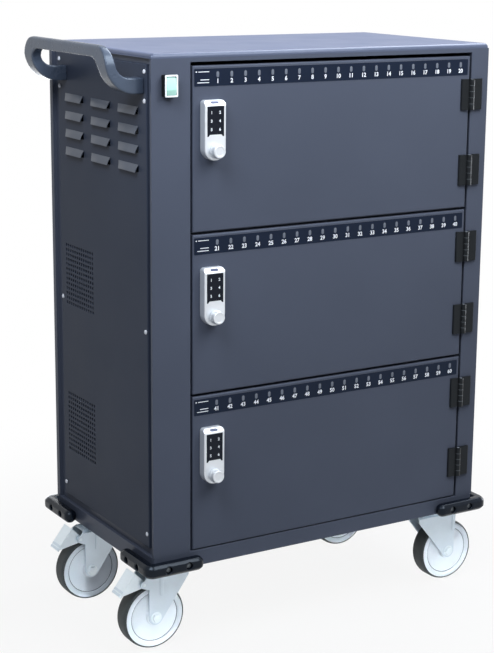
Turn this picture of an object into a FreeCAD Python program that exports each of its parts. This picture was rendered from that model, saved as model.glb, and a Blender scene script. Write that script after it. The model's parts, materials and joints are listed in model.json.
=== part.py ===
import FreeCAD, Part
import math
import os

Vector = FreeCAD.Vector

# Cabinet body, measured from its left side, its front and its top
body_width = 747.0
body_depth = 422.0
body_height = 957.0
sheet = 1.5
body_corner = 5.0
overrun = 5.0
touch = 0.001
full_turn = 360

# Base tray under the body
base_rim_height = 31.0
base_sheet = 2.5
base_lip = 18.0

# Top panel
top_lip = 9.5
top_edge_radius = 8.0

# Front opening and its frame
opening_left = 78.0
opening_right_gap = 41.0
opening_top = 17.0
jamb_depth = 20.0
jamb_return = 12.0
side_recess = 7.0
front_strip = 5.0
rear_strip = 12.0
side_ledge = 29.0
rear_flange = 25.0
rear_rail = 40.0
roof_gap = 4.0

# Side panels
panel_front = 20.0
panel_back_gap = 36.0
panel_top = 20.0
panel_bottom_gap = 14.0
panel_inset = 1.5
panel_screw_margin = 7.0
panel_screw_first_drops = (33.0, 84.5)
panel_screw_middle_share = 0.5225
panel_screw_rise = 71.0
screw_head_radius = 4.2
screw_head_height = 2.4
screw_shank_radius = 2.0
screw_shank_length = 9.0
screw_head_sides = 8
shank_sides = 6

# Louvres in the left panel
louvre_columns = 3
louvre_rows = 4
louvre_length_share = 0.213
louvre_height = 13.6
louvre_reach = 7.5
louvre_column_pitch_share = 0.306
louvre_row_pitch = 34.2
louvre_first_drop = 103.5
louvre_middle_share = 0.4987

# Perforated fan vents in the left panel
vent_rows = 8
vent_columns = 8
vent_pitch = 16.4
vent_hole = 9.4
vent_back_gap = 119.0
vent_drop_shares = (0.4707, 0.7853)

# Doors
door_count = 3
door_gap_left = 5.0
door_gap_right = 4.0
door_gap_top = 7.0
door_gap_between = 4.6
door_gap_bottom = 1.6
door_sheet = 1.5
door_depth = 18.0
door_edge_radius = 3.0

# Row of light windows along the top of each door
window_count = 20
window_first = 133.6
window_last_gap = 68.67
window_drop = 16.0
window_width = 6.0
window_height = 11.0

# Hinges, two on each door
hinge_top_gap = 44.0
hinge_bottom_gap = 45.0
hinge_height = 60.0
hinge_door_leaf = 23.0
hinge_frame_leaf = 27.0
hinge_leaf_thickness = 5.0
hinge_knuckle_radius = 5.5
hinge_knuckle_count = 5
hinge_knuckle_sides = 8
hinge_knuckle_gap = 0.3
hinge_pin_radius = 2.5
hinge_edge = 1.5
running_gap = 0.05

# Keypad lock on each door
lock_middle = 119.5
lock_drop = 60.0
lock_width = 43.0
lock_height = 107.0
lock_depth = 18.0
lock_top_corner = 6.0
lock_top_bevel = 8.0
lock_edge = 1.5
keypad_width = 34.0
keypad_height = 54.0
keypad_drop = 10.0
keypad_thickness = 1.2
keypad_proud = 0.3
keypad_leg_width = 5.0
keypad_leg_height = 3.5
knob_from_bottom = 17.5
knob_radius = 13.0
knob_front_radius = 11.5
knob_length = 15.7
knob_edge = 1.6
knob_gap = 0.3
spindle_radius = 4.0
door_spindle_hole = 6.0
cam_gap = 0.5
cam_thickness = 2.5
cam_width = 16.0
cam_overlap = 9.0

# Mains rocker switch on the left post
switch_left = 20.6
switch_drop = 37.0
switch_width = 25.5
switch_height = 38.5
switch_proud = 13.0
switch_corner = 2.0
switch_body_depth = 24.0
switch_body_inset = 2.0
rocker_wall = 3.2
rocker_width_gap = 0.3
rocker_front = 8.0
rocker_back = 3.0
rocker_tilt = 8.0
rocker_stub_radius = 1.5
rocker_stub_length = 2.0
rocker_end_gap = 1.5

# Inside: partition, shelves, dividers, charging hubs and power supplies
partition_flange = 12.0
partition_set_back = 6.0
cable_port_width = 60.0
cable_port_height = 24.0
shelf_lip = 20.0
shelf_rise = 5.0
door_stop_gap = 0.6
divider_thickness = 2.0
divider_front = 60.0
divider_back_gap = 89.0
divider_top_gap = 15.0
divider_nose = 90.0
divider_front_height = 60.0
hub_depth = 45.0
hub_height = 56.0
hub_top_gap = 39.17
hub_end_margin = 8.0
socket_width = 13.0
socket_height = 6.0
socket_depth = 9.0
supply_width = 180.0
supply_height = 110.0
supply_depth = 36.0
supply_front = 40.0
supply_foot = 10.0
supply_foot_share = 1 / 3
supply_foot_thickness = 2.0

# Cooling fans behind the vents
fan_size = 120.0
fan_depth = 25.0
fan_corner = 6.0
fan_bore_radius = 57.0
fan_hub_radius = 20.0
fan_plate = 3.0
fan_arm_width = 8.0
fan_arm_count = 4
fan_spindle_radius = 2.0
fan_blade_count = 5
fan_blade_thickness = 1.6
fan_blade_pitch = 38.0
fan_tip_gap = 1.5
fan_rotor_gap = 1.0
fan_rotor_length = 19.0
fan_web_share = 1 / 3

# Mains inlet in the back
inlet_middle = 42.0
inlet_rise = 62.0
inlet_flange_width = 48.0
inlet_flange_height = 30.0
inlet_flange_thickness = 3.0
inlet_body_width = 27.0
inlet_body_height = 20.0
inlet_body_depth = 22.0
inlet_wall = 2.0
inlet_pin_width = 2.0
inlet_pin_height = 4.0
inlet_pin_spacing = 7.0
inlet_pin_length = 13.0

# Push handle on the left side
handle_front = 28.0
handle_back_gap = 45.0
handle_reach = 73.0
handle_rise = 13.0
handle_root_bottom = 72.0
handle_root_height = 28.5
handle_outer_bend = 58.0
handle_inner_bend = 28.0
handle_bar_width = 19.0
handle_bar_top_width = 14.0
handle_bar_height = 22.0
handle_bar_round = 6.0
handle_arm_width = 33.0
handle_corner = 38.0
handle_window_corner = 28.0

# Corner bumpers
bumper_reach = 25.0
bumper_length = 97.0
bumper_height = 26.0
bumper_bottom_below_base = 1.0
bumper_corner = 20.0
bumper_edge = 6.5
bumper_bolt_first = 21.0
bumper_bolt_pitch = 43.0
bumper_bore_depth = 9.0
bolt_radius = 3.0
bolt_head_radius = 5.5
bolt_head_height = 3.6
bolt_clearance = 0.3
bolt_bore_margin = 1.2
bolt_bore_sides = 8
bumper_bolt_length = 23.0
caster_bolt_length = 12.0

# Casters
wheel_radius = 63.5
wheel_width = 36.0
tread_thickness = 4.0
tread_shoulder = 6.0
wheel_face_inset = 1.0
wheel_hub_radius = 17.0
wheel_side_gap = 0.3
wheel_dish = 3.0
base_over_wheel = 34.5
caster_trail = 40.0
caster_inset_left = 58.0
caster_inset_right = 76.0
caster_inset_front = 48.0
caster_inset_back = 98.0
plate_length = 104.0
plate_width = 80.0
plate_thickness = 4.0
plate_hole_length = 80.0
plate_hole_width = 58.0
race_radius = 30.0
race_height = 6.0
race_sides = 12
race_gap = 0.3
kingpin_radius = 6.0
kingpin_length = 8.0
fork_sheet = 3.0
fork_wheel_gap = 2.5
fork_crown_bend = 6.0
fork_lead = 37.0
fork_lead_brake = 30.0
fork_tail = 14.5
fork_tip_radius = 14.5
fork_web_drop = 14.0
axle_radius = 5.0
axle_head_radius = 9.0
axle_head_height = 6.0
caster_names = ("front_left", "rear_left", "front_right", "rear_right")
caster_trails = (-1, -1, 1, -1)
left_caster_count = 2

# Brake pedals on the two left casters, from the axle, the tyre's top and its rear
pedal_pivot_behind_axle = 24.0
pedal_pivot_over_wheel = 6.0
pedal_pivot_radius = 3.0
pedal_lobe_radius = 7.5
pedal_top_behind_axle = 41.0
pedal_top_over_wheel = 30.5
pedal_tip_past_wheel = 9.5
pedal_tip_below_wheel_top = 11.0
pedal_width = 34.0
pedal_sheet = 2.5
pedal_tread = 3.5
ear_radius = 8.0
ear_depth = 14.0

# Places that follow from the sizes above; the origin is on the floor, under the middle of the whole
opening_right = body_width - opening_right_gap
panel_back = body_depth - panel_back_gap
panel_width = panel_back - panel_front
louvre_length = panel_width * louvre_length_share
louvre_column_pitch = panel_width * louvre_column_pitch_share
louvre_middle = panel_front + panel_width * louvre_middle_share
vent_middle = body_depth - vent_back_gap
vent_drops = [body_height * share for share in vent_drop_shares]
panel_screw_drops = panel_screw_first_drops + (
    body_height * panel_screw_middle_share, body_height - panel_screw_rise
)
window_pitch = (body_width - window_last_gap - window_first) / (window_count - 1)
handle_back = body_depth - handle_back_gap
wheel_top = 2 * wheel_radius
pedal_pivot_out = caster_trail + pedal_pivot_behind_axle
pedal_pivot_z = wheel_top + pedal_pivot_over_wheel
pedal_top_out = caster_trail + pedal_top_behind_axle
pedal_top_z = wheel_top + pedal_top_over_wheel
pedal_tip_out = caster_trail + wheel_radius + pedal_tip_past_wheel
pedal_tip_z = wheel_top - pedal_tip_below_wheel_top
right_wheel_reach = wheel_radius + caster_trail - caster_inset_right
left_reach = max(handle_reach, pedal_tip_out - caster_inset_left)
right_reach = max(bumper_reach, right_wheel_reach)
front_reach = max(bumper_reach, lock_depth + knob_gap + knob_length)
rear_reach = max(bumper_reach, inlet_flange_thickness)
left_x = left_reach - (left_reach + body_width + right_reach) / 2
right_x = left_x + body_width
front_y = front_reach - (front_reach + body_depth + rear_reach) / 2
back_y = front_y + body_depth
base_z = wheel_top + base_over_wheel
rim_z = base_z + base_rim_height
top_z = base_z + body_height
frame_top_z = top_z - top_lip
opening_top_z = top_z - opening_top
door_height = (
    opening_top_z - rim_z - door_gap_top - door_gap_bottom - (door_count - 1) * door_gap_between
) / door_count
door_pitch = door_height + door_gap_between
hinge_drops = (hinge_top_gap, door_height - hinge_bottom_gap - hinge_height)
hub_rise = door_pitch - sheet - hub_top_gap - hub_height
divider_height = hub_rise - divider_top_gap
door_left_x = left_x + opening_left + door_gap_left
door_right_x = left_x + opening_right - door_gap_right
hinge_x = left_x + opening_right - door_gap_right / 2
hinge_y = front_y - hinge_knuckle_radius
inner_back_y = back_y - 2 * sheet
partition_x = left_x + opening_left - sheet
side_sheet_x = side_recess + sheet
shelf_right_x = right_x - side_recess - sheet
cam_length = lock_middle - opening_left + cam_overlap


def box(x0, x1, y0, y1, z0, z1):
    return Part.makeBox(x1 - x0, y1 - y0, z1 - z0, Vector(x0, y0, z0))


def cylinder(radius, start, axis, length):
    return Part.makeCylinder(radius, length, start, axis)


def polygon_face(points):
    return Part.Face(Part.makePolygon(points + [points[0]]))


def fuse(shapes):
    return shapes[0].fuse(shapes[1:]).removeSplitter() if len(shapes) > 1 else shapes[0]


def ring_points(centre, axis, radius, sides):
    across = Vector(0, 0, 1) if abs(axis.z) < touch else Vector(1, 0, 0)
    aside = axis.cross(across)
    turns = [2 * math.pi * n / sides for n in range(sides)]
    return [centre + across * (radius * math.cos(t)) + aside * (radius * math.sin(t)) for t in turns]


def prism(start, axis, radius, length, sides):
    return polygon_face(ring_points(start, axis, radius, sides)).extrude(axis * length)


def fillet(shape, radius, wanted):
    return shape.makeFillet(radius, [edge for edge in shape.Edges if wanted(edge)])


def chamfer(shape, size, wanted):
    return shape.makeChamfer(size, [edge for edge in shape.Edges if wanted(edge)])


def is_vertical(edge):
    low, high = edge.BoundBox.ZMin, edge.BoundBox.ZMax
    flat = edge.BoundBox.XLength < touch and edge.BoundBox.YLength < touch
    return flat and high - low > touch


def lies_at_z(edge, z):
    return abs(edge.BoundBox.ZMin - z) < touch and abs(edge.BoundBox.ZMax - z) < touch


def lies_at_y(edge, y):
    return abs(edge.BoundBox.YMin - y) < touch and abs(edge.BoundBox.YMax - y) < touch


def lies_at_x(edge, x):
    return abs(edge.BoundBox.XMin - x) < touch and abs(edge.BoundBox.XMax - x) < touch


def mirrored_x(shape, x):
    return shape.mirror(Vector(x, 0, 0), Vector(1, 0, 0))


def folded_strip(points, z0, z1, inward):
    # Sheet folded along a path seen from above, the path being its outer face
    path = Part.makePolygon([Vector(x, y, z0) for x, y in points])
    section = path.makeOffset2D(inward * sheet, 2, True, True)
    return section.extrude(Vector(0, 0, z1 - z0))


# Base tray: a folded tray with its lips turned in, holed for the bolts
def base_tray():
    tray = box(left_x, right_x, front_y, back_y, base_z, rim_z)
    tray = fillet(tray, body_corner, is_vertical)
    inset = base_sheet
    tray = tray.cut(box(left_x + inset, right_x - inset, front_y + inset, back_y - inset,
                        base_z + inset, rim_z - inset))
    tray = tray.cut(box(left_x + base_lip, right_x - base_lip, front_y + base_lip,
                        back_y - base_lip, rim_z - inset - overrun, rim_z + overrun))
    holes = [bolt_hole(Vector(x, y, base_z - overrun), Vector(0, 0, 1), base_sheet + 2 * overrun)
             for x, y in caster_bolt_places()]
    for start, axis in bumper_bolt_places():
        holes.append(bolt_hole(start - axis * (bumper_reach + 2 * base_sheet), axis,
                               bumper_reach + 2 * base_sheet))
    return tray.cut(Part.makeCompound(holes))


# Welded frame: four folded posts, side rails, and rails over the opening and at the back
def front_post(width):
    outer = [(width - jamb_return, jamb_depth), (width, jamb_depth), (width, 0), (0, 0), (0, front_strip),
             (side_recess, front_strip), (side_recess, panel_front + side_ledge / 2)]
    return folded_strip([(left_x + x, front_y + y) for x, y in outer], rim_z, frame_top_z, 1)


def rear_post():
    outer = [(side_recess, panel_back - side_ledge / 2), (side_recess, body_depth - rear_strip),
             (0, body_depth - rear_strip), (0, body_depth), (rear_flange, body_depth)]
    return folded_strip([(left_x + x, front_y + y) for x, y in outer], rim_z, frame_top_z, 1)


def side_rail(z0, z1):
    return box(left_x + side_recess, left_x + side_recess + sheet,
               front_y + front_strip, back_y - rear_strip, z0, z1)


def cabinet_frame():
    middle_x = (left_x + right_x) / 2
    left_post = front_post(opening_left)
    right_post = mirrored_x(front_post(body_width - opening_right), middle_x)
    rear_left = rear_post()
    rear_right = mirrored_x(rear_left, middle_x)
    upper = side_rail(top_z - panel_top - side_ledge / 2, top_z - sheet - roof_gap)
    lower = side_rail(rim_z, rim_z + panel_bottom_gap + side_ledge / 2)
    opening_x0 = left_x + opening_left - sheet
    opening_x1 = left_x + opening_right + sheet
    rail_face = box(opening_x0, opening_x1, front_y, front_y + sheet, opening_top_z, frame_top_z)
    rail_ledge = box(opening_x0, opening_x1, front_y, front_y + jamb_depth,
                     opening_top_z, opening_top_z + sheet)
    back_rails = [box(left_x + sheet, right_x - sheet, back_y - sheet, back_y, z, z + rear_rail)
                  for z in (rim_z, frame_top_z - rear_rail)]
    frame = fuse([left_post, right_post, rear_left, rear_right, upper, lower,
                  mirrored_x(upper, middle_x), mirrored_x(lower, middle_x),
                  rail_face, rail_ledge] + back_rails)
    x0, x1, z0, z1 = switch_opening()
    cuts = [box(x0, x1, front_y - overrun, front_y + sheet + overrun, z0, z1)]
    x0, x1, z0, z1 = inlet_opening()
    cuts.append(box(x0, x1, back_y - sheet - overrun, back_y + overrun, z0, z1))
    cuts += [prism(Vector(left_x, y, z), Vector(1, 0, 0), screw_shank_radius,
                   screw_shank_length + overrun, shank_sides) for y, z in panel_screw_places()]
    return frame.cut(Part.makeCompound(cuts))


# Top panel: a shallow lid with rounded edges
def top_panel():
    outer = box(left_x, right_x, front_y, back_y, frame_top_z, top_z)
    outer = fillet(outer, body_corner, is_vertical)
    outer = fillet(outer, top_edge_radius, lambda e: lies_at_z(e, top_z))
    roof_z = top_z - sheet
    inner = box(left_x + sheet, right_x - sheet, front_y + sheet, back_y - sheet,
                frame_top_z - overrun, roof_z)
    inner = chamfer(inner, top_edge_radius - sheet,
                    lambda e: is_vertical(e) or lies_at_z(e, roof_z))
    return outer.cut(inner)


# Side panels: shallow pans that stand out of the frame's recess
def panel_screw_places():
    rows = [top_z - drop for drop in panel_screw_drops]
    columns = (front_y + panel_front + panel_screw_margin, front_y + panel_back - panel_screw_margin)
    return [(y, z) for y in columns for z in rows]


def louvre_places():
    places = []
    for column in range(louvre_columns):
        shift = (column - (louvre_columns - 1) / 2) * louvre_column_pitch
        middle = front_y + louvre_middle + shift
        for row in range(louvre_rows):
            places.append((middle, top_z - louvre_first_drop - row * louvre_row_pitch))
    return places


def vent_hole_places():
    places = []
    for drop in vent_drops:
        for row in range(vent_rows):
            z = top_z - drop + (row - (vent_rows - 1) / 2) * vent_pitch
            for column in range(vent_columns):
                y = front_y + vent_middle + (column - (vent_columns - 1) / 2) * vent_pitch
                places.append((y, z))
    return places


def side_rectangle(x, y0, y1, z0, z1):
    return Part.makePolygon([Vector(x, y0, z0), Vector(x, y1, z0), Vector(x, y1, z1),
                             Vector(x, y0, z1), Vector(x, y0, z0)])


def side_diamond(x, y, z, half):
    corners = [Vector(x, y - half, z), Vector(x, y, z - half), Vector(x, y + half, z),
               Vector(x, y, z + half)]
    return Part.makePolygon(corners + corners[:1])


def screw_hole_wires(x):
    rings = [ring_points(Vector(x, y, z), Vector(1, 0, 0), screw_shank_radius, shank_sides)
             for y, z in panel_screw_places()]
    return [Part.makePolygon(ring + ring[:1]) for ring in rings]


def side_pan(hole_wires):
    x = left_x + panel_inset
    y0, y1 = front_y + panel_front, front_y + panel_back
    z0, z1 = rim_z + panel_bottom_gap, top_z - panel_top
    outline = side_rectangle(x, y0, y1, z0, z1)
    field = Part.makeFace([outline] + hole_wires, "Part::FaceMakerBullseye")
    field = field.extrude(Vector(sheet, 0, 0))
    seat = left_x + side_recess
    edges = box(x, seat, y0, y1, z0, z1).cut(
        box(x - overrun, seat + overrun, y0 + sheet, y1 - sheet, z0 + sheet, z1 - sheet))
    return field.fuse(edges).removeSplitter()


def louvre_flap(middle, bottom):
    x = left_x + panel_inset
    top = bottom + louvre_height
    section = polygon_face([Vector(x, 0, top), Vector(x + sheet, 0, top),
                            Vector(x + sheet - louvre_reach, 0, bottom),
                            Vector(x - louvre_reach, 0, bottom)])
    section.translate(Vector(0, middle - louvre_length / 2, 0))
    return section.extrude(Vector(0, louvre_length, 0))


def left_side_panel():
    x = left_x + panel_inset
    wires = [side_rectangle(x, y - louvre_length / 2, y + louvre_length / 2, z, z + louvre_height)
             for y, z in louvre_places()]
    wires += [side_diamond(x, y, z, vent_hole / math.sqrt(2)) for y, z in vent_hole_places()]
    pan = side_pan(wires + screw_hole_wires(x))
    return pan.fuse([louvre_flap(y, z) for y, z in louvre_places()])


def right_side_panel():
    return mirrored_x(side_pan([]), (left_x + right_x) / 2)


def side_panel_screws():
    screws = []
    x = left_x + panel_inset
    for y, z in panel_screw_places():
        head = prism(Vector(x, y, z), Vector(-1, 0, 0), screw_head_radius, screw_head_height,
                     screw_head_sides)
        shank = prism(Vector(x, y, z), Vector(1, 0, 0), screw_shank_radius, screw_shank_length,
                      shank_sides)
        screws.append(head.fuse(shank))
    return Part.makeCompound(screws)


# Back panel: a flat sheet behind the rear flanges
def back_panel():
    panel = box(left_x + side_sheet_x + sheet, right_x - side_sheet_x - sheet,
                back_y - 2 * sheet, back_y - sheet, rim_z, top_z - top_lip)
    x0, x1, z0, z1 = inlet_opening()
    return panel.cut(box(x0, x1, back_y - 2 * sheet - overrun, back_y + overrun, z0, z1))


# Partition between the electronics bay and the shelves
def shelf_tops():
    tops = [top_z - opening_top - door_gap_top - (n + 1) * door_pitch + shelf_rise
            for n in range(door_count - 1)]
    return tops + [rim_z + sheet]


def inner_partition():
    # Its front edge stands back from the post's folded jamb, so that the cams turn in between
    y0, y1 = front_y + jamb_depth + partition_set_back, inner_back_y
    z1 = top_z - sheet - roof_gap
    wall = box(partition_x, partition_x + sheet, y0, y1, rim_z, z1)
    foot = box(partition_x - partition_flange, partition_x, y0 + sheet, y1, rim_z, rim_z + sheet)
    back = box(partition_x - partition_flange, partition_x, y1 - sheet, y1, rim_z, z1)
    cuts = [box(partition_x - overrun, partition_x + sheet + overrun,
                inner_back_y - hub_depth - cable_port_width, inner_back_y - hub_depth,
                z + hub_rise, z + hub_rise + cable_port_height) for z in shelf_tops()]
    cuts.append(box(partition_x - partition_flange - overrun, partition_x + sheet + overrun,
                    back_y - top_edge_radius, back_y, top_z - top_edge_radius, top_z))
    return fuse([wall, foot, back]).cut(Part.makeCompound(cuts))


# Shelves: three pans with a front lip that the doors close against
def shelf(top):
    x0, x1 = partition_x + sheet, left_x + opening_right
    y0 = front_y + door_depth + door_stop_gap
    deck = box(x0, shelf_right_x, front_y + jamb_depth, inner_back_y, top - sheet, top)
    nose = box(x0, x1, y0, front_y + jamb_depth, top - sheet, top)
    lip = box(x0, x1, y0, y0 + sheet, top - shelf_lip, top)
    return fuse([deck, nose, lip])


def shelves():
    return Part.makeCompound([shelf(top) for top in shelf_tops()])


# Dividers: upright fins between the charging places
def divider(x, z):
    y0 = front_y + divider_front
    y1 = inner_back_y - divider_back_gap
    outline = [Vector(x, y0, z), Vector(x, y1, z), Vector(x, y1, z + divider_height),
               Vector(x, y0 + divider_nose, z + divider_height),
               Vector(x, y0, z + divider_front_height)]
    return polygon_face(outline).extrude(Vector(divider_thickness, 0, 0))


def slot_dividers():
    first = left_x + window_first - window_pitch / 2 - divider_thickness / 2
    return Part.makeCompound([divider(first + n * window_pitch, z)
                              for z in shelf_tops() for n in range(window_count + 1)])


# Charging hubs: a long box with a socket behind each place
def charging_hub(z):
    first = left_x + window_first
    last = first + (window_count - 1) * window_pitch
    x0 = first - window_pitch / 2 - hub_end_margin
    x1 = last + window_pitch / 2 + hub_end_margin
    y0 = inner_back_y - hub_depth
    hub = box(x0, x1, y0, inner_back_y, z + hub_rise, z + hub_rise + hub_height)
    middle = z + hub_rise + hub_height / 2
    sockets = [box(first + n * window_pitch - socket_width / 2,
                   first + n * window_pitch + socket_width / 2, y0 - overrun, y0 + socket_depth,
                   middle - socket_height / 2, middle + socket_height / 2)
               for n in range(window_count)]
    return hub.cut(Part.makeCompound(sockets))


def charging_hubs():
    return Part.makeCompound([charging_hub(z) for z in shelf_tops()])


# Power supplies on the partition, inside the electronics bay
def power_supply(z):
    y0 = front_y + supply_front
    y1 = y0 + supply_width
    case = box(partition_x - supply_depth, partition_x, y0, y1, z, z + supply_height)
    foot_drop = supply_height * supply_foot_share
    foot = box(partition_x - supply_foot_thickness, partition_x, y0 - supply_foot,
               y1 + supply_foot, z + foot_drop, z + supply_height - foot_drop)
    return case.fuse(foot).removeSplitter()


def power_supplies():
    lift = (door_pitch - supply_height) / 2
    return Part.makeCompound([power_supply(z + lift) for z in shelf_tops()])


# Push handle: one moulding, its side outline crossed with its front outline
def handle_side_outline():
    root_x = left_x + panel_inset
    outer_x = left_x - handle_reach
    inner_x = outer_x + handle_bar_width
    top = top_z + handle_rise
    bottom = top_z - handle_root_bottom
    root_top = bottom + handle_root_height
    outer_centre = Vector(outer_x + handle_outer_bend, 0, bottom + handle_outer_bend)
    inner_centre = Vector(inner_x + handle_inner_bend, 0, root_top + handle_inner_bend)
    slant = math.sqrt(2) / 2

    def bend(centre, radius):
        start = centre + Vector(0, 0, -radius)
        middle = centre + Vector(-radius * slant, 0, -radius * slant)
        return start, middle, centre + Vector(-radius, 0, 0)

    low_start, low_middle, low_end = bend(outer_centre, handle_outer_bend)
    up_start, up_middle, up_end = bend(inner_centre, handle_inner_bend)
    r = handle_bar_round
    left_centre = Vector(outer_x + r, 0, top - r)
    top_inner_x = outer_x + handle_bar_top_width
    right_centre = Vector(top_inner_x - r, 0, top - r)
    edges = [Part.makeLine(Vector(root_x, 0, bottom), low_start),
             Part.Arc(low_start, low_middle, low_end).toShape(),
             Part.makeLine(low_end, left_centre + Vector(-r, 0, 0)),
             Part.Arc(left_centre + Vector(-r, 0, 0), left_centre + Vector(-r * slant, 0, r * slant),
                      left_centre + Vector(0, 0, r)).toShape(),
             Part.makeLine(left_centre + Vector(0, 0, r), right_centre + Vector(0, 0, r)),
             Part.Arc(right_centre + Vector(0, 0, r), right_centre + Vector(r * slant, 0, r * slant),
                      right_centre + Vector(r, 0, 0)).toShape(),
             Part.makeLine(right_centre + Vector(r, 0, 0), up_end),
             Part.Arc(up_end, up_middle, up_start).toShape(),
             Part.makeLine(up_start, Vector(root_x, 0, root_top)),
             Part.makeLine(Vector(root_x, 0, root_top), Vector(root_x, 0, bottom))]
    return Part.Face(Part.Wire(edges))


def push_handle():
    side = handle_side_outline()
    side.translate(Vector(0, front_y + handle_front, 0))
    body = side.extrude(Vector(0, handle_back - handle_front, 0))
    x0, x1 = left_x - handle_reach - overrun, left_x + panel_inset
    y0, y1 = front_y + handle_front, front_y + handle_back
    top = top_z + handle_rise
    bottom = top_z - handle_root_bottom
    outer = box(x0, x1, y0, y1, bottom - overrun, top)
    outer = fillet(outer, handle_corner,
                   lambda e: lies_at_z(e, top) and (lies_at_y(e, y0) or lies_at_y(e, y1)))
    window_top = top - handle_bar_height
    window = box(x0 - overrun, x1 + overrun, y0 + handle_arm_width, y1 - handle_arm_width,
                 bottom - 2 * overrun, window_top)
    window = fillet(window, handle_window_corner,
                    lambda e: lies_at_z(e, window_top) and e.BoundBox.YLength < touch)
    return body.common(outer).cut(window)


# Corner bumpers: thick L mouldings with rounded noses and sunk bolts
def bumper_outline():
    # Left front corner; the arms run along the two rim faces
    r = bumper_corner
    nose = bumper_reach / 2
    slant = math.sqrt(2) / 2
    out_x, out_y = left_x - bumper_reach, front_y - bumper_reach
    end_x, end_y = left_x + bumper_length, front_y + bumper_length
    corner = Vector(out_x + r, out_y + r, 0)
    edges = [Part.makeLine(Vector(left_x, front_y, 0), Vector(end_x - nose, front_y, 0)),
             Part.Arc(Vector(end_x - nose, front_y, 0), Vector(end_x, front_y - nose, 0),
                      Vector(end_x - nose, out_y, 0)).toShape(),
             Part.makeLine(Vector(end_x - nose, out_y, 0), Vector(out_x + r, out_y, 0)),
             Part.Arc(Vector(out_x + r, out_y, 0), corner + Vector(-r * slant, -r * slant, 0),
                      Vector(out_x, out_y + r, 0)).toShape(),
             Part.makeLine(Vector(out_x, out_y + r, 0), Vector(out_x, end_y - nose, 0)),
             Part.Arc(Vector(out_x, end_y - nose, 0), Vector(left_x - nose, end_y, 0),
                      Vector(left_x, end_y - nose, 0)).toShape(),
             Part.makeLine(Vector(left_x, end_y - nose, 0), Vector(left_x, front_y, 0))]
    return Part.Face(Part.Wire(edges))


def bumper_level():
    return base_z - bumper_bottom_below_base


def first_bumper():
    z0 = bumper_level()
    z1 = z0 + bumper_height
    outline = bumper_outline()
    outline.translate(Vector(0, 0, z0))
    bumper = outline.extrude(Vector(0, 0, bumper_height))

    def outer_edge(edge):
        if not (lies_at_z(edge, z0) or lies_at_z(edge, z1)):
            return False
        back = lies_at_x(edge, left_x) or lies_at_y(edge, front_y)
        return not back

    bumper = chamfer(bumper, bumper_edge, outer_edge)
    sockets = []
    z = z0 + bumper_height / 2
    for n in range(2):
        along = bumper_bolt_first + n * bumper_bolt_pitch
        for start, axis in ((Vector(left_x + along, front_y, z), Vector(0, -1, 0)),
                            (Vector(left_x, front_y + along, z), Vector(-1, 0, 0))):
            sockets.append(bolt_hole(start - axis * overrun, axis, bumper_reach + 2 * overrun))
            sockets.append(prism(start + axis * (bumper_reach - bumper_bore_depth), axis,
                                 bolt_head_radius + bolt_bore_margin,
                                 bumper_bore_depth + overrun, bolt_bore_sides))
    return bumper.cut(Part.makeCompound(sockets))


def around_corners(shape):
    middle_x = (left_x + right_x) / 2
    middle_y = (front_y + back_y) / 2
    right = mirrored_x(shape, middle_x)
    rear = [s.mirror(Vector(0, middle_y, 0), Vector(0, 1, 0)) for s in (shape, right)]
    return [shape, right] + rear


def corner_bumpers():
    return Part.makeCompound(around_corners(first_bumper()))


def bumper_bolt_places():
    # Outer end of each hole's axis and the way it points
    z = bumper_level() + bumper_height / 2
    places = []
    for n in range(2):
        along = bumper_bolt_first + n * bumper_bolt_pitch
        for x in (left_x + along, right_x - along):
            places.append((Vector(x, front_y - bumper_reach, z), Vector(0, -1, 0)))
            places.append((Vector(x, back_y + bumper_reach, z), Vector(0, 1, 0)))
        for y in (front_y + along, back_y - along):
            places.append((Vector(left_x - bumper_reach, y, z), Vector(-1, 0, 0)))
            places.append((Vector(right_x + bumper_reach, y, z), Vector(1, 0, 0)))
    return places


def bolt_hole(start, axis, length):
    return prism(start, axis, bolt_radius + bolt_clearance, length, shank_sides)


def bolt(seat, axis, length):
    # The head sits on the seat, the shank runs in against the axis
    head = prism(seat, axis, bolt_head_radius, bolt_head_height, shank_sides)
    return head.fuse(prism(seat - axis * length, axis, bolt_radius, length, shank_sides))


def base_bolts():
    bolts = []
    for end, axis in bumper_bolt_places():
        bolts.append(bolt(end - axis * bumper_bore_depth, axis, bumper_bolt_length))
    for x, y in caster_bolt_places():
        bolts.append(bolt(Vector(x, y, base_z - plate_thickness), Vector(0, 0, -1),
                          caster_bolt_length))
    return Part.makeCompound(bolts)


# Casters: top plates with the bearing race, forks, axles, wheels, tyres and brake pedals
def swivel_place(index):
    on_left = index < left_caster_count
    x = left_x + caster_inset_left if on_left else right_x - caster_inset_right
    y = front_y + caster_inset_front if index % 2 == 0 else back_y - caster_inset_back
    return x, y


def caster_bolt_places():
    return [(x + i * plate_hole_length / 2, y + j * plate_hole_width / 2)
            for x, y in (swivel_place(n) for n in range(len(caster_names)))
            for i in (-1, 1) for j in (-1, 1)]


def caster_plate(x, y):
    z0 = base_z - plate_thickness
    plate = box(x - plate_length / 2, x + plate_length / 2, y - plate_width / 2,
                y + plate_width / 2, z0, base_z)
    return plate.fuse(prism(Vector(x, y, z0), Vector(0, 0, -1), race_radius, race_height, race_sides))


def caster_plates():
    plates = Part.makeCompound([caster_plate(*swivel_place(n)) for n in range(len(caster_names))])
    holes = [bolt_hole(Vector(x, y, base_z - plate_thickness - overrun), Vector(0, 0, 1),
                       plate_thickness + 2 * overrun) for x, y in caster_bolt_places()]
    race_z = base_z - plate_thickness - race_height
    for n in range(len(caster_names)):
        x, y = swivel_place(n)
        holes.append(cylinder(kingpin_radius + running_gap, Vector(x, y, race_z - overrun),
                              Vector(0, 0, 1), overrun + kingpin_length + race_gap))
    return plates.cut(Part.makeCompound(holes))


def fork_top_z():
    return base_z - plate_thickness - race_height - race_gap


def fork_half_width():
    return wheel_width / 2 + fork_wheel_gap + fork_sheet


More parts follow.
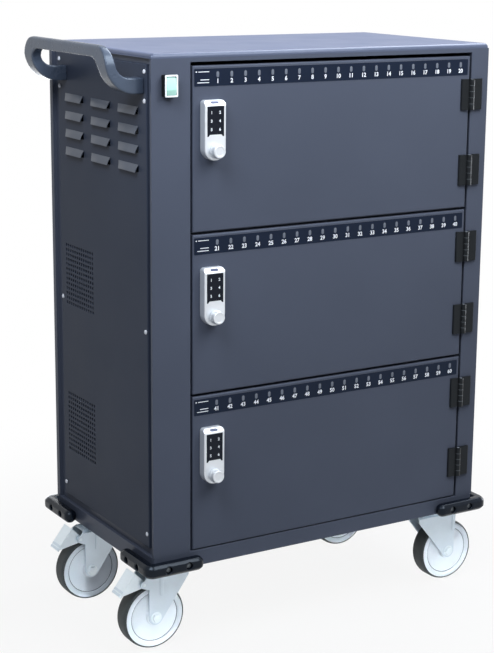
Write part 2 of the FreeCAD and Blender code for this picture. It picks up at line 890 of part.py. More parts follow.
def fork_side_face(lead, with_ear):
    # Seen from the side, trailing towards minus x, swivel axis at x = 0
    top = fork_top_z()
    axle = Vector(-caster_trail, 0, wheel_radius)
    tail_x = -caster_trail - fork_tail
    r = fork_tip_radius
    reach = Vector(lead, 0, top - fork_web_drop) - axle
    angle = math.atan2(reach.z, reach.x) - math.acos(r / reach.Length)
    tangent = axle + Vector(r * math.cos(angle), 0, r * math.sin(angle))
    middle = (angle - math.pi) / 2
    arc_middle = axle + Vector(r * math.cos(middle), 0, r * math.sin(middle))
    edges = [Part.makeLine(Vector(lead, 0, top), Vector(lead, 0, top - fork_web_drop)),
             Part.makeLine(Vector(lead, 0, top - fork_web_drop), tangent),
             Part.Arc(tangent, arc_middle, axle + Vector(-r, 0, 0)).toShape(),
             Part.makeLine(axle + Vector(-r, 0, 0), Vector(tail_x, 0, top)),
             Part.makeLine(Vector(tail_x, 0, top), Vector(lead, 0, top))]
    face = Part.Face(Part.Wire(edges))
    if with_ear:
        pivot = Vector(-pedal_pivot_out, 0, pedal_pivot_z)
        slope = ear_radius * math.sqrt(2) / 2
        ear = polygon_face([pivot + Vector(0, 0, ear_radius), Vector(tail_x, 0, top),
                            Vector(tail_x, 0, top) + Vector(0, 0, -2 * ear_radius - ear_depth),
                            pivot + Vector(0, 0, -ear_radius), pivot + Vector(-slope, 0, -slope),
                            pivot + Vector(-ear_radius, 0, 0), pivot + Vector(-slope, 0, slope)])
        face = face.fuse(ear).removeSplitter()
    return face


def fork(brake):
    lead = fork_lead_brake if brake else fork_lead
    top = fork_top_z()
    half = fork_half_width()
    span = pedal_pivot_out + 2 * ear_radius + lead
    outer = box(-span, span, -half, half, -overrun, top)
    outer = chamfer(outer, fork_crown_bend,
                    lambda e: lies_at_z(e, top) and e.BoundBox.YLength < touch)
    inner = box(-2 * span, 2 * span, -half + fork_sheet, half - fork_sheet, -2 * overrun,
                top - fork_sheet)
    inner = chamfer(inner, fork_crown_bend - fork_sheet,
                    lambda e: lies_at_z(e, top - fork_sheet) and e.BoundBox.YLength < touch)
    channel = outer.cut(inner)
    face = fork_side_face(lead, brake)
    face.translate(Vector(0, -half - overrun, 0))
    shape = channel.common(face.extrude(Vector(0, 2 * (half + overrun), 0)))
    axle = Vector(-caster_trail, -half - overrun, wheel_radius)
    shape = shape.cut(cylinder(axle_radius, axle, Vector(0, 1, 0), 2 * (half + overrun)))
    if brake:
        pivot = Vector(-pedal_pivot_out, -half - overrun, pedal_pivot_z)
        shape = shape.cut(cylinder(pedal_pivot_radius + running_gap, pivot, Vector(0, 1, 0),
                                   2 * (half + overrun)))
    kingpin = cylinder(kingpin_radius, Vector(0, 0, top - fork_sheet), Vector(0, 0, 1),
                       fork_sheet + kingpin_length)
    return shape.fuse(kingpin).removeSplitter()


def caster_axle():
    half = fork_half_width()
    y_axis = Vector(0, 1, 0)
    axle = Vector(-caster_trail, 0, wheel_radius)
    front = axle - y_axis * half
    back = axle + y_axis * half
    shaft = cylinder(axle_radius, front, y_axis, 2 * half)
    pieces = [shaft]
    for face, out in ((front, -y_axis), (back, y_axis)):
        pieces.append(prism(face, out, axle_head_radius, axle_head_height, shank_sides))
    return fuse(pieces)


def revolved_about_axle(points):
    # Points are (radius, distance along y) pairs around the wheel's own axis
    face = polygon_face([Vector(-caster_trail + r, y, wheel_radius) for r, y in points])
    return face.revolve(Vector(-caster_trail, 0, wheel_radius), Vector(0, 1, 0), full_turn)


def caster_wheel():
    rim = wheel_radius - tread_thickness
    half = wheel_width / 2 - wheel_face_inset
    hub_half = wheel_width / 2 + fork_wheel_gap - wheel_side_gap
    outline = [(axle_radius + running_gap, hub_half), (wheel_hub_radius, hub_half),
               (wheel_hub_radius, half - wheel_dish), (rim, half)]
    lower = [(r, -y) for r, y in reversed(outline)]
    return revolved_about_axle(outline + lower)


def caster_tyre():
    rim = wheel_radius - tread_thickness
    half = wheel_width / 2
    outline = [(rim, half), (wheel_radius, half - tread_shoulder)]
    lower = [(r, -y) for r, y in reversed(outline)]
    return revolved_about_axle(outline + lower)


def brake_pedal():
    half = pedal_width / 2
    pivot = Vector(-pedal_pivot_out, 0, pedal_pivot_z)
    top = Vector(-pedal_top_out, 0, pedal_top_z)
    tip = Vector(-pedal_tip_out, 0, pedal_tip_z)
    along = (tip - top).normalize()
    inward = Vector(-along.z, 0, along.x)
    tread = polygon_face([top, tip, tip + inward * pedal_tread, top + inward * pedal_tread])
    tread.translate(Vector(0, -half, 0))
    tread = tread.extrude(Vector(0, pedal_width, 0))
    side = pivot - tip
    normal = Vector(side.z, 0, -side.x).normalize()
    cheek = polygon_face([top, tip, pivot + normal * pedal_lobe_radius,
                          pivot + Vector(pedal_lobe_radius, 0, 0),
                          pivot + Vector(0, 0, pedal_lobe_radius)])
    cheeks = []
    for y in (-half, half - pedal_sheet):
        plate = cheek.copy()
        plate.translate(Vector(0, y, 0))
        cheeks.append(plate.extrude(Vector(0, pedal_sheet, 0)))
    pin_half = fork_half_width()
    pin = cylinder(pedal_pivot_radius, pivot - Vector(0, pin_half, 0), Vector(0, 1, 0),
                   2 * pin_half)
    return fuse([tread] + cheeks + [pin])


def placed_caster_piece(shape, index):
    x, y = swivel_place(index)
    piece = shape.copy() if caster_trails[index] < 0 else mirrored_x(shape, 0)
    piece.translate(Vector(x, y, 0))
    return piece


# Doors: sheet pans with a row of light windows and a spindle hole
def door_top(index):
    return opening_top_z - door_gap_top - index * door_pitch


def window_cutter(x, z):
    # An upright slot with pointed ends, which stands for the oval window
    half = window_width / 2
    straight = (window_height - window_width) / 2
    y = front_y - overrun
    corners = [(half, straight), (0, window_height / 2), (-half, straight),
               (-half, -straight), (0, -window_height / 2), (half, -straight)]
    outline = polygon_face([Vector(x + dx, y, z + dz) for dx, dz in corners])
    return outline.extrude(Vector(0, 2 * overrun, 0))


def knob_place(index):
    z = door_top(index) - lock_drop - lock_height + knob_from_bottom
    return Vector(left_x + lock_middle, front_y, z)


def door_panel(index):
    z1 = door_top(index)
    z0 = z1 - door_height
    y1 = front_y + door_depth
    pan = box(door_left_x, door_right_x, front_y, y1, z0, z1)
    pan = fillet(pan, door_edge_radius, lambda e: lies_at_y(e, front_y))
    pan = pan.cut(box(door_left_x + door_sheet, door_right_x - door_sheet, front_y + door_sheet,
                      y1 + overrun, z0 + door_sheet, z1 - door_sheet))
    cutters = [window_cutter(left_x + window_first + n * window_pitch, z1 - window_drop)
               for n in range(window_count)]
    cutters.append(cylinder(door_spindle_hole, knob_place(index) - Vector(0, overrun, 0),
                            Vector(0, 1, 0), 2 * overrun))
    return pan.cut(Part.makeCompound(cutters))


# Hinges: two leaves with interlocking knuckles on one pin
def hinge_bottoms(index):
    return [door_top(index) - drop - hinge_height for drop in hinge_drops]


def hinge_leaf(z, direction, first):
    # Direction +1 is the frame's leaf, -1 the door's; first says which knuckle it starts with
    width = hinge_frame_leaf if direction > 0 else hinge_door_leaf
    clear = hinge_knuckle_radius + 2 * hinge_knuckle_gap
    near, far = sorted((hinge_x + direction * clear, hinge_x + direction * width))
    plate = box(near, far, front_y - hinge_leaf_thickness, front_y, z, z + hinge_height)
    outer_x = hinge_x + direction * width
    outer_y = front_y - hinge_leaf_thickness
    plate = chamfer(plate, hinge_edge, lambda e: lies_at_x(e, outer_x) and lies_at_y(e, outer_y))
    pitch = hinge_height / hinge_knuckle_count
    parts = [plate]
    for n in range(first, hinge_knuckle_count, 2):
        z0 = z + n * pitch + hinge_knuckle_gap / 2
        tall = pitch - hinge_knuckle_gap
        parts.append(prism(Vector(hinge_x, hinge_y, z0), Vector(0, 0, 1), hinge_knuckle_radius,
                           tall, hinge_knuckle_sides))
        x0, x1 = sorted((hinge_x, hinge_x + direction * clear))
        parts.append(box(x0, x1, front_y - hinge_leaf_thickness, front_y - touch, z0, z0 + tall))
    radius = hinge_pin_radius + (0 if direction > 0 else running_gap)
    bore = cylinder(radius, Vector(hinge_x, hinge_y, z - overrun), Vector(0, 0, 1),
                    hinge_height + 2 * overrun)
    return fuse(parts).cut(bore)


def hinge_frame_leaves():
    return Part.makeCompound([hinge_leaf(z, 1, 0) for n in range(door_count)
                              for z in hinge_bottoms(n)])


def door_hinge_leaves(index):
    return Part.makeCompound([hinge_leaf(z, -1, 1) for z in hinge_bottoms(index)])


def hinge_pins():
    return Part.makeCompound([cylinder(hinge_pin_radius, Vector(hinge_x, hinge_y, z),
                                       Vector(0, 0, 1), hinge_height)
                              for n in range(door_count) for z in hinge_bottoms(n)])


# Keypad locks: body, keypad, knob with its spindle, and cam
def lock_outline(index):
    x = left_x + lock_middle
    top = door_top(index) - lock_drop
    bottom = top - lock_height
    half = lock_width / 2
    low = bottom + half
    y = front_y
    return Part.Face(Part.Wire([
        Part.makeLine(Vector(x - half, y, top), Vector(x - half, y, low)),
        Part.Arc(Vector(x - half, y, low), Vector(x, y, bottom), Vector(x + half, y, low)).toShape(),
        Part.makeLine(Vector(x + half, y, low), Vector(x + half, y, top)),
        Part.makeLine(Vector(x + half, y, top), Vector(x - half, y, top))]))


def keypad_outline(index, grow):
    x = left_x + lock_middle
    top = door_top(index) - lock_drop - keypad_drop + grow
    bottom = top - keypad_height - 2 * grow
    half = keypad_width / 2 + grow
    leg = keypad_leg_width
    points = [(x - half, top), (x - half, bottom), (x - half + leg / 2, bottom),
              (x - half + leg, bottom + keypad_leg_height), (x + half - leg, bottom + keypad_leg_height),
              (x + half - leg / 2, bottom), (x + half, bottom), (x + half, top)]
    return polygon_face([Vector(px, front_y - lock_depth, pz) for px, pz in points])


def lock_body(index):
    body = lock_outline(index).extrude(Vector(0, -lock_depth, 0))
    top = door_top(index) - lock_drop
    body = fillet(body, lock_top_corner,
                  lambda e: e.BoundBox.YLength > touch and lies_at_z(e, top))
    front = front_y - lock_depth
    bevel = polygon_face([Vector(0, front - overrun, top + overrun),
                          Vector(0, front + lock_top_bevel, top + overrun),
                          Vector(0, front + lock_top_bevel, top),
                          Vector(0, front, top - lock_top_bevel),
                          Vector(0, front - overrun, top - lock_top_bevel)])
    x0 = left_x + lock_middle - lock_width
    bevel.translate(Vector(x0, 0, 0))
    body = body.cut(bevel.extrude(Vector(2 * lock_width, 0, 0)))
    body = chamfer(body, lock_edge, lambda e: lies_at_y(e, front))
    body = body.cut(keypad_outline(index, 0).extrude(Vector(0, keypad_thickness - keypad_proud, 0)))
    bore = cylinder(spindle_radius + running_gap, knob_place(index) + Vector(0, overrun, 0),
                    Vector(0, -1, 0), lock_depth + 2 * overrun)
    return body.cut(bore)


def lock_keypad(index):
    pad = keypad_outline(index, 0)
    pad.translate(Vector(0, -keypad_proud, 0))
    return pad.extrude(Vector(0, keypad_thickness, 0))


def lock_knob(index):
    centre = knob_place(index)
    start = centre - Vector(0, lock_depth + knob_gap, 0)
    knob = Part.makeCone(knob_radius, knob_front_radius, knob_length, start, Vector(0, -1, 0))
    front = start.y - knob_length
    knob = chamfer(knob, knob_edge, lambda e: lies_at_y(e, front))
    end_y = cam_back_y()
    spindle = cylinder(spindle_radius, start, Vector(0, 1, 0), end_y - start.y)
    return knob.fuse(spindle).removeSplitter()


def cam_back_y():
    return front_y + jamb_depth + cam_gap + cam_thickness


def lock_cam(index):
    # Hangs straight down when open, and turns behind the post's jamb to lock
    centre = knob_place(index)
    y = cam_back_y() - cam_thickness
    half = cam_width / 2
    slope = half * math.sqrt(2) / 2
    corners = [(half, 0), (slope, slope), (0, half), (-slope, slope), (-half, 0),
               (-half, half - cam_length), (-half / 2, -cam_length), (half / 2, -cam_length),
               (half, half - cam_length)]
    plate = polygon_face([Vector(centre.x + dx, y, centre.z + dz) for dx, dz in corners])
    bore = cylinder(spindle_radius, Vector(centre.x, y - overrun, centre.z), Vector(0, 1, 0),
                    cam_thickness + 2 * overrun)
    return plate.extrude(Vector(0, cam_thickness, 0)).cut(bore)


# Rocker switch
def switch_bounds():
    x0 = left_x + switch_left
    z1 = top_z - switch_drop
    return x0, x0 + switch_width, z1 - switch_height, z1


def switch_opening():
    x0, x1, z0, z1 = switch_bounds()
    inset = switch_body_inset
    return x0 + inset, x1 - inset, z0 + inset, z1 - inset


def rocker_axis():
    x0, x1, z0, z1 = switch_bounds()
    return Vector((x0 + x1) / 2, front_y - switch_proud + rocker_front, (z0 + z1) / 2)


def switch_housing():
    x0, x1, z0, z1 = switch_bounds()
    front = front_y - switch_proud
    boss = box(x0, x1, front, front_y, z0, z1)
    boss = fillet(boss, switch_corner, lambda e: e.BoundBox.YLength > touch)
    a0, a1, b0, b1 = switch_opening()
    body = box(a0, a1, front_y - sheet, front_y + switch_body_depth, b0, b1)
    housing = boss.fuse(body).removeSplitter()
    wall = rocker_wall
    axis = rocker_axis()
    half = switch_height / 2 - rocker_wall
    well_back = axis.y + 2 * half * math.sin(math.radians(rocker_tilt)) + rocker_back
    housing = housing.cut(box(x0 + wall, x1 - wall, front - overrun, well_back, z0 + wall, z1 - wall))
    stub = cylinder(rocker_stub_radius + running_gap,
                    Vector(x0 + wall - rocker_stub_length, axis.y, axis.z), Vector(1, 0, 0),
                    x1 - x0 - 2 * wall + 2 * rocker_stub_length)
    return housing.cut(stub)


def power_rocker():
    # Seen along x: a shallow boat with a two-plane face, tilted to one side
    x0, x1, z0, z1 = switch_bounds()
    axis = rocker_axis()
    inner0, inner1 = x0 + rocker_wall + rocker_width_gap, x1 - rocker_wall - rocker_width_gap
    half = switch_height / 2 - rocker_wall - rocker_end_gap
    sag = half * math.tan(math.radians(rocker_tilt))
    front = axis.y - rocker_front + sag / 2
    back = axis.y + rocker_back
    outline = [Vector(inner0, front + sag / 2, axis.z), Vector(inner0, front - sag / 2, axis.z + half),
               Vector(inner0, axis.y, axis.z + half), Vector(inner0, back, axis.z + half / 2),
               Vector(inner0, back, axis.z - half / 2), Vector(inner0, axis.y, axis.z - half),
               Vector(inner0, front - sag / 2, axis.z - half)]
    rocker = polygon_face(outline).extrude(Vector(inner1 - inner0, 0, 0))
    stub = cylinder(rocker_stub_radius,
                    Vector(x0 + rocker_wall - rocker_stub_length + rocker_width_gap, axis.y, axis.z),
                    Vector(1, 0, 0), x1 - x0 - 2 * (rocker_wall - rocker_stub_length + rocker_width_gap))
    rocker = rocker.fuse(stub).removeSplitter()
    rocker.rotate(axis, Vector(1, 0, 0), rocker_tilt)
    return rocker


# Mains inlet
def inlet_opening():
    x = left_x + inlet_middle
    z = rim_z + inlet_rise
    return (x - inlet_body_width / 2, x + inlet_body_width / 2,
            z - inlet_body_height / 2, z + inlet_body_height / 2)


def mains_inlet():
    x0, x1, z0, z1 = inlet_opening()
    x, z = (x0 + x1) / 2, (z0 + z1) / 2
    flange = box(x - inlet_flange_width / 2, x + inlet_flange_width / 2, back_y,
                 back_y + inlet_flange_thickness, z - inlet_flange_height / 2,
                 z + inlet_flange_height / 2)
    flange = fillet(flange, inlet_flange_thickness, lambda e: e.BoundBox.YLength > touch)
    body = box(x0, x1, back_y - inlet_body_depth, back_y, z0, z1)
    inlet = flange.fuse(body).removeSplitter()
    wall = inlet_wall
    well = box(x0 + wall, x1 - wall, back_y - inlet_body_depth + wall,
               back_y + inlet_flange_thickness + overrun, z0 + wall, z1 - wall)
    well = fillet(well, wall, lambda e: e.BoundBox.YLength > touch and lies_at_z(e, z1 - wall))
    inlet = inlet.cut(well)
    pins = []
    for shift, lift in ((-1, -1), (0, 1), (1, -1)):
        px = x + shift * inlet_pin_spacing
        pz = z + lift * inlet_pin_height / 2
        pins.append(box(px - inlet_pin_width / 2, px + inlet_pin_width / 2,
                        back_y - inlet_body_depth + wall / 2,
                        back_y - inlet_body_depth + wall + inlet_pin_length,
                        pz - inlet_pin_height / 2, pz + inlet_pin_height / 2))
    return fuse([inlet] + pins)


# Cooling fans: square frames with a duct, a spindle and a bladed rotor each
def fan_centre(drop):
    return Vector(left_x + panel_inset + sheet, front_y + vent_middle, top_z - drop)


def fan_frame(drop):
    centre = fan_centre(drop)
    half = fan_size / 2
    x_axis = Vector(1, 0, 0)
    frame = box(centre.x, centre.x + fan_depth, centre.y - half, centre.y + half,
                centre.z - half, centre.z + half)
    frame = chamfer(frame, fan_corner, lambda e: e.BoundBox.XLength > touch)
    frame = frame.cut(cylinder(fan_bore_radius, centre - x_axis * overrun, x_axis,
                               fan_depth + 2 * overrun))
    back = centre + x_axis * (fan_depth - fan_plate)
    arms = [cylinder(fan_hub_radius, back, x_axis, fan_plate)]
    for n in range(fan_arm_count):
        arm = box(back.x, back.x + fan_plate, centre.y, centre.y + fan_bore_radius + touch,
                  centre.z - fan_arm_width / 2, centre.z + fan_arm_width / 2)
        arm.rotate(centre, x_axis, (2 * n + 1) * full_turn / (2 * fan_arm_count))
        arms.append(arm)
    spindle_start = centre + x_axis * (fan_rotor_gap + fan_rotor_length * fan_web_share)
    arms.append(cylinder(fan_spindle_radius, spindle_start, x_axis, back.x - spindle_start.x))
    return fuse([frame] + arms)


def fan_frames():
    return Part.makeCompound([fan_frame(drop) for drop in vent_drops])


def fan_rotor(drop):
    centre = fan_centre(drop)
    x_axis = Vector(1, 0, 0)
    start = centre + x_axis * fan_rotor_gap
    length = fan_rotor_length
    blade_reach = fan_bore_radius - fan_tip_gap
    middle = start + x_axis * (length / 2)
    swept = math.radians(fan_blade_pitch)
    half_span = length / 2 / math.cos(swept) - fan_blade_thickness
    parts = [cylinder(fan_hub_radius - fan_rotor_gap, start, x_axis, length)]
    for n in range(fan_blade_count):
        blade = box(middle.x - half_span, middle.x + half_span,
                    middle.y - fan_blade_thickness / 2, middle.y + fan_blade_thickness / 2,
                    middle.z + fan_hub_radius / 2, middle.z + blade_reach - fan_tip_gap)
        blade.rotate(middle, Vector(0, 0, 1), fan_blade_pitch)
        blade.rotate(centre, x_axis, n * full_turn / fan_blade_count)
        parts.append(blade)
    bore = cylinder(fan_spindle_radius + running_gap, start + x_axis * (length * fan_web_share),
                    x_axis, length)
    return fuse(parts).cut(bore)


def all_nodes():
    nodes = {
        "base_tray": base_tray(),
        "cabinet_frame": cabinet_frame(),
        "top_panel": top_panel(),
        "left_side_panel": left_side_panel(),
        "right_side_panel": right_side_panel(),
        "side_panel_screws": side_panel_screws(),
        "back_panel": back_panel(),
        "inner_partition": inner_partition(),
        "shelves": shelves(),
        "slot_dividers": slot_dividers(),
        "charging_hubs": charging_hubs(),
        "power_supplies": power_supplies(),
        "push_handle": push_handle(),
        "corner_bumpers": corner_bumpers(),
        "base_bolts": base_bolts(),
        "caster_plates": caster_plates(),
        "hinge_frame_leaves": hinge_frame_leaves(),
        "hinge_pins": hinge_pins(),
        "switch_housing": switch_housing(),
        "power_rocker": power_rocker(),
        "mains_inlet": mains_inlet(),
        "fan_frames": fan_frames(),
        "fan_rotor_upper": fan_rotor(vent_drops[0]),
        "fan_rotor_lower": fan_rotor(vent_drops[1]),
    }
    for index, level in enumerate(("upper", "middle", "lower")):
        nodes[level + "_door_panel"] = door_panel(index)
        nodes[level + "_door_hinge_leaves"] = door_hinge_leaves(index)
        nodes[level + "_lock_body"] = lock_body(index)
        nodes[level + "_lock_keypad"] = lock_keypad(index)
        nodes[level + "_lock_knob"] = lock_knob(index)
        nodes[level + "_lock_cam"] = lock_cam(index)
    for index, name in enumerate(caster_names):
        brake = index < left_caster_count
        nodes[name + "_caster_fork"] = placed_caster_piece(fork(brake), index)
        nodes[name + "_caster_axle"] = placed_caster_piece(caster_axle(), index)
        nodes[name + "_caster_wheel"] = placed_caster_piece(caster_wheel(), index)
        nodes[name + "_caster_tyre"] = placed_caster_piece(caster_tyre(), index)
        if brake:
            nodes[name + "_brake_pedal"] = placed_caster_piece(brake_pedal(), index)
    return nodes


def main():
    os.makedirs("parts", exist_ok=True)
    for name, shape in all_nodes().items():
        shape.exportStep("parts/" + name + ".step")


main()
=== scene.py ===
import bpy
import bmesh
import json
import math
from mathutils import Matrix, Vector

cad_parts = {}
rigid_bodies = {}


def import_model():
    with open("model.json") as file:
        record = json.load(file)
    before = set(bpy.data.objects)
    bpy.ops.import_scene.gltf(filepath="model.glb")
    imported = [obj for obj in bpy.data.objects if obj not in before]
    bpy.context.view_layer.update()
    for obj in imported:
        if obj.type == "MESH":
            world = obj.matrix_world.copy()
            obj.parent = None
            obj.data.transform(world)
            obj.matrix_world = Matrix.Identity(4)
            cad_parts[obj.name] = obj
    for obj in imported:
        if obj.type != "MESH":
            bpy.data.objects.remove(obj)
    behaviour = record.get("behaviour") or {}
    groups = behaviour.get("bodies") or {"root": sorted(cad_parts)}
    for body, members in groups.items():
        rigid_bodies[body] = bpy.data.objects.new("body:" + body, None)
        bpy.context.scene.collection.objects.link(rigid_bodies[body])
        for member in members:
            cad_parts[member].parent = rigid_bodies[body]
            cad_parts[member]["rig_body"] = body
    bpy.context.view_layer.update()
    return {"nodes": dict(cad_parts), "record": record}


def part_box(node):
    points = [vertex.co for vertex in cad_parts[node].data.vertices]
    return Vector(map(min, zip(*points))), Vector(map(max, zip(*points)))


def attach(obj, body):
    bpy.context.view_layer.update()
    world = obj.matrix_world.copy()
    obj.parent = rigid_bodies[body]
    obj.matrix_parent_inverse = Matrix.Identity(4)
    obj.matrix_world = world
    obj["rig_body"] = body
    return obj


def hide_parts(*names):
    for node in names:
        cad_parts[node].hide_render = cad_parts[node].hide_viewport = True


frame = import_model()
print("frame loaded:", len(frame["nodes"]), "nodes")

levels = ("upper", "middle", "lower")
casters = ("front_left", "rear_left", "front_right", "rear_right")
braked = casters[:2]

trayLow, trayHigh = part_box("base_tray")
bodyLeft, bodyRight, bodyFront = trayLow.x, trayHigh.x, trayLow.y
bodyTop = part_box("top_panel")[1].z


def bodyOf(node):
    return frame["nodes"][node]["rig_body"]


def slotOf(node):
    for entry in frame["record"]["subparts"]:
        if entry["node"] == node:
            return entry["material_slot"]


def newObject(name, data):
    thing = bpy.data.objects.new(name, data)
    bpy.context.scene.collection.objects.link(thing)
    return thing


# Camera, stage and light

cameraSetup = {
    "place": (-1.6807, -2.7310, 1.3109),
    "yaw": 31.642,  # degrees from the cabinet's depth axis towards its right
    "pitch": 12.937,
    "roll": 0.552,
    "lens": 90.14,
    "sensor": 36,
    "shiftX": -0.0195,
    "shiftY": -0.0168,
    "reach": 60,
}

stageSetup = {
    "world": 0.085,
    "worldColour": (0.93, 0.95, 1.0),
    "floorSize": 30.0,
    "floorColour": (0.42, 0.42, 0.4284),
    "shadowShare": 0.1,  # how much of the floor's own shade the camera sees near the cabinet
    "shadowStart": 0.35,  # metres from the cabinet's middle to where that shade begins to fade
    "shadowReach": 1.3,  # and to where the floor is plain white
}

# Place, target, size in metres, power in watts, colour, and spread in degrees.
# The back and right lamps stay below the lid, because they glare on it otherwise.
# The low one is narrow, so that it reaches the wheels and hardly the doors.
lamps = {
    "overhead": ((1.5, 0.3, 3.0), (0, 0, 1.0), (1.5, 1.5), 72.0, (0.86, 0.91, 1.0), 180),
    "key": ((0.35, -1.22, 1.97), (0, -0.2, 0.8), (1.1, 1.1), 29.5, (0.93, 0.96, 1.0), 180),
    "back": ((0.3, 2.9, 0.45), (0, 0.2, 0.5), (1.1, 1.1), 20.0, (0.9, 0.94, 1.0), 180),
    "right": ((2.8, 0.1, 0.5), (0.4, 0, 0.55), (1.1, 1.1), 18.0, (0.9, 0.94, 1.0), 180),
    "left": ((-1.1, -0.75, 1.95), (-0.4, 0, 0.85), (0.8, 0.8), 21.0, (0.84, 0.9, 1.0), 180),
    "low": ((-0.5, -2.7, 0.25), (0, 0, -0.05), (1.5, 0.08), 0.8, (0.88, 0.96, 1.0), 9),
}


def makeCamera():
    s = cameraSetup
    data = bpy.data.cameras.new("camera")
    data.lens, data.sensor_width, data.clip_end = s["lens"], s["sensor"], s["reach"]
    data.shift_x, data.shift_y = s["shiftX"], s["shiftY"]
    camera = newObject("camera", data)
    turn = Matrix.Rotation(math.radians(-s["yaw"]), 4, "Z")
    tilt = Matrix.Rotation(math.radians(90 - s["pitch"]), 4, "X")
    roll = Matrix.Rotation(math.radians(s["roll"]), 4, "Z")
    camera.matrix_world = Matrix.Translation(s["place"]) @ turn @ tilt @ roll
    bpy.context.scene.camera = camera


def newMaterial(name):
    material = bpy.data.materials.new(name)
    material.use_nodes = True
    tree = material.node_tree
    tree.nodes.clear()
    return material, tree, tree.nodes.new("ShaderNodeOutputMaterial")


def objectPoints(tree):
    return tree.nodes.new("ShaderNodeTexCoord").outputs["Object"]


def mathNode(tree, operation, first, second):
    node = tree.nodes.new("ShaderNodeMath")
    node.operation = operation
    tree.links.new(first, node.inputs[0])
    tree.links.new(second, node.inputs[1])
    return node.outputs[0]


def spread(tree, value, low, high, first=0.15, last=0.85):
    # A value that runs from first to last is spread smoothly over another range
    node = tree.nodes.new("ShaderNodeMapRange")
    node.interpolation_type = "SMOOTHSTEP"
    for socket, amount in (("From Min", first), ("From Max", last), ("To Min", low), ("To Max", high)):
        node.inputs[socket].default_value = amount
    tree.links.new(value, node.inputs["Value"])
    return node.outputs["Result"]


def seesBackdrop(tree):
    # 1 for the camera, for reflections and through glass, 0 for light that falls on the object
    path = tree.nodes.new("ShaderNodeLightPath").outputs
    straight = mathNode(tree, "MAXIMUM", path["Is Camera Ray"], path["Is Glossy Ray"])
    return mathNode(tree, "MAXIMUM", straight, path["Is Transmission Ray"])


def mixInto(tree, out, share, first, second):
    mix = tree.nodes.new("ShaderNodeMixShader")
    for n, source in enumerate((share, first.outputs[0], second.outputs[0])):
        tree.links.new(source, mix.inputs[n])
    tree.links.new(mix.outputs[0], out.inputs["Surface"])


def makeStage():
    s = stageSetup
    half = s["floorSize"] / 2
    mesh = bpy.data.meshes.new("floor")
    mesh.from_pydata([(-half, -half, 0), (half, -half, 0), (half, half, 0), (-half, half, 0)],
                     [], [(0, 1, 2, 3)])
    floor = newObject("floor", mesh)
    material, tree, out = newMaterial("paleFloor")
    diffuse = tree.nodes.new("ShaderNodeBsdfDiffuse")
    diffuse.inputs["Color"].default_value = (*s["floorColour"], 1)
    plain = tree.nodes.new("ShaderNodeEmission")
    plain.inputs["Color"].default_value = (1, 1, 1, 1)
    reach = tree.nodes.new("ShaderNodeVectorMath")
    reach.operation = "LENGTH"
    tree.links.new(objectPoints(tree), reach.inputs[0])
    fade = spread(tree, reach.outputs["Value"], 1 - s["shadowShare"], 1.0, s["shadowStart"], s["shadowReach"])
    mixInto(tree, out, mathNode(tree, "MULTIPLY", fade, seesBackdrop(tree)), diffuse, plain)
    mesh.materials.append(material)

    world = bpy.data.worlds.new("studio")
    bpy.context.scene.world = world
    world.use_nodes = True
    tree = world.node_tree
    tree.nodes.clear()
    out = tree.nodes.new("ShaderNodeOutputWorld")
    skies = []
    for colour, strength in ((s["worldColour"], s["world"]), ((1, 1, 1), 1.0)):
        sky = tree.nodes.new("ShaderNodeBackground")
        sky.inputs["Color"].default_value = (*colour, 1)
        sky.inputs["Strength"].default_value = strength
        skies.append(sky)
    mixInto(tree, out, seesBackdrop(tree), *skies)


def makeLamps():
    for name, (place, target, size, power, colour, angle) in lamps.items():
        data = bpy.data.lights.new(name, "AREA")
        data.shape = "RECTANGLE"
        data.size, data.size_y = size
        data.spread = math.radians(angle)
        data.energy = power
        data.color = colour
        lamp = newObject(name, data)
        lamp.location = place
        lamp.rotation_euler = (Vector(target) - Vector(place)).to_track_quat("-Z", "Y").to_euler()


makeCamera()
makeStage()
makeLamps()
bpy.context.scene.view_settings.view_transform = "Standard"
print("camera, floor and lights ready")


# Materials

# tone and dull are the scale, detail and roughness of the noise in the colour and in the roughness. shades
# are the factors on the colour and drift the change of the roughness at its two ends. grain is the scale
# and detail of the noise in the surface, its depth in metres and its strength.
looks = {
    # Fine orange peel, faint clouds in the tone, and dust that dulls some places
    "powderCoat": {
        # The specular and sheen tints colour reflections blue: a painted reflection of a blue sky
        "specular": 0.4, "ior": 1.45, "specularTint": (0.78, 0.86, 1.0), "sheen": 0.0, "sheenRoughness": 0.35,
        "sheenTint": (0.35, 0.5, 1.0), "tone": (3.0, 3.0, 0.5), "shades": (0.93, 1.08),
        "dull": (14.0, 4.0, 0.5), "drift": (-0.03, 0.05), "grain": (1400.0, 1.0, 0.00006, 0.35),
    },
    "mouldedPlastic": {
        # The blue specular tint is a painted reflection of a blue sky
        "specular": 0.35, "specularTint": (0.75, 0.87, 1.0), "tone": (45.0, 5.0, 0.6), "shades": (0.88, 1.12),
        "dull": (30.0, 3.0, 0.5), "drift": (-0.06, 0.08), "grain": (2600.0, 2.0, 0.00005, 0.5),
    },
    # Bright zinc with soft patches in its tone and its dullness
    "zincPlate": {
        "metallic": 0.5, "tone": (27.3, 3.0, 0.4), "shades": (0.93, 1.04),
        "dull": (43.7, 3.0, 0.5), "drift": (-0.03, 0.08),
    },
    "castNickel": {
        "metallic": 0.45, "tone": (40.0, 3.0, 0.5), "shades": (0.97, 1.02),
        "dull": (90.0, 3.0, 0.5), "drift": (-0.03, 0.05), "grain": (700.0, 1.0, 0.000004, 0.08),
    },
    "gloss": {
        # The blue specular tint is a painted reflection of a blue sky
        "specular": 0.35, "specularTint": (0.7, 0.84, 1.0), "coat": 0.5, "coatRoughness": 0.06,
        "tone": (25.0, 3.0, 0.5), "shades": (0.9, 1.1), "dull": (90.0, 4.0, 0.5), "drift": (0.0, 0.08),
    },
    # Grey thermoplastic rubber, a little lighter and duller where it has rolled
    "treadRubber": {
        "tone": (18.0, 5.0, 0.65), "shades": (0.82, 1.3), "dull": (50.0, 4.0, 0.5), "drift": (-0.08, 0.12),
        "grain": (1500.0, 3.0, 0.00008, 0.6),
    },
}

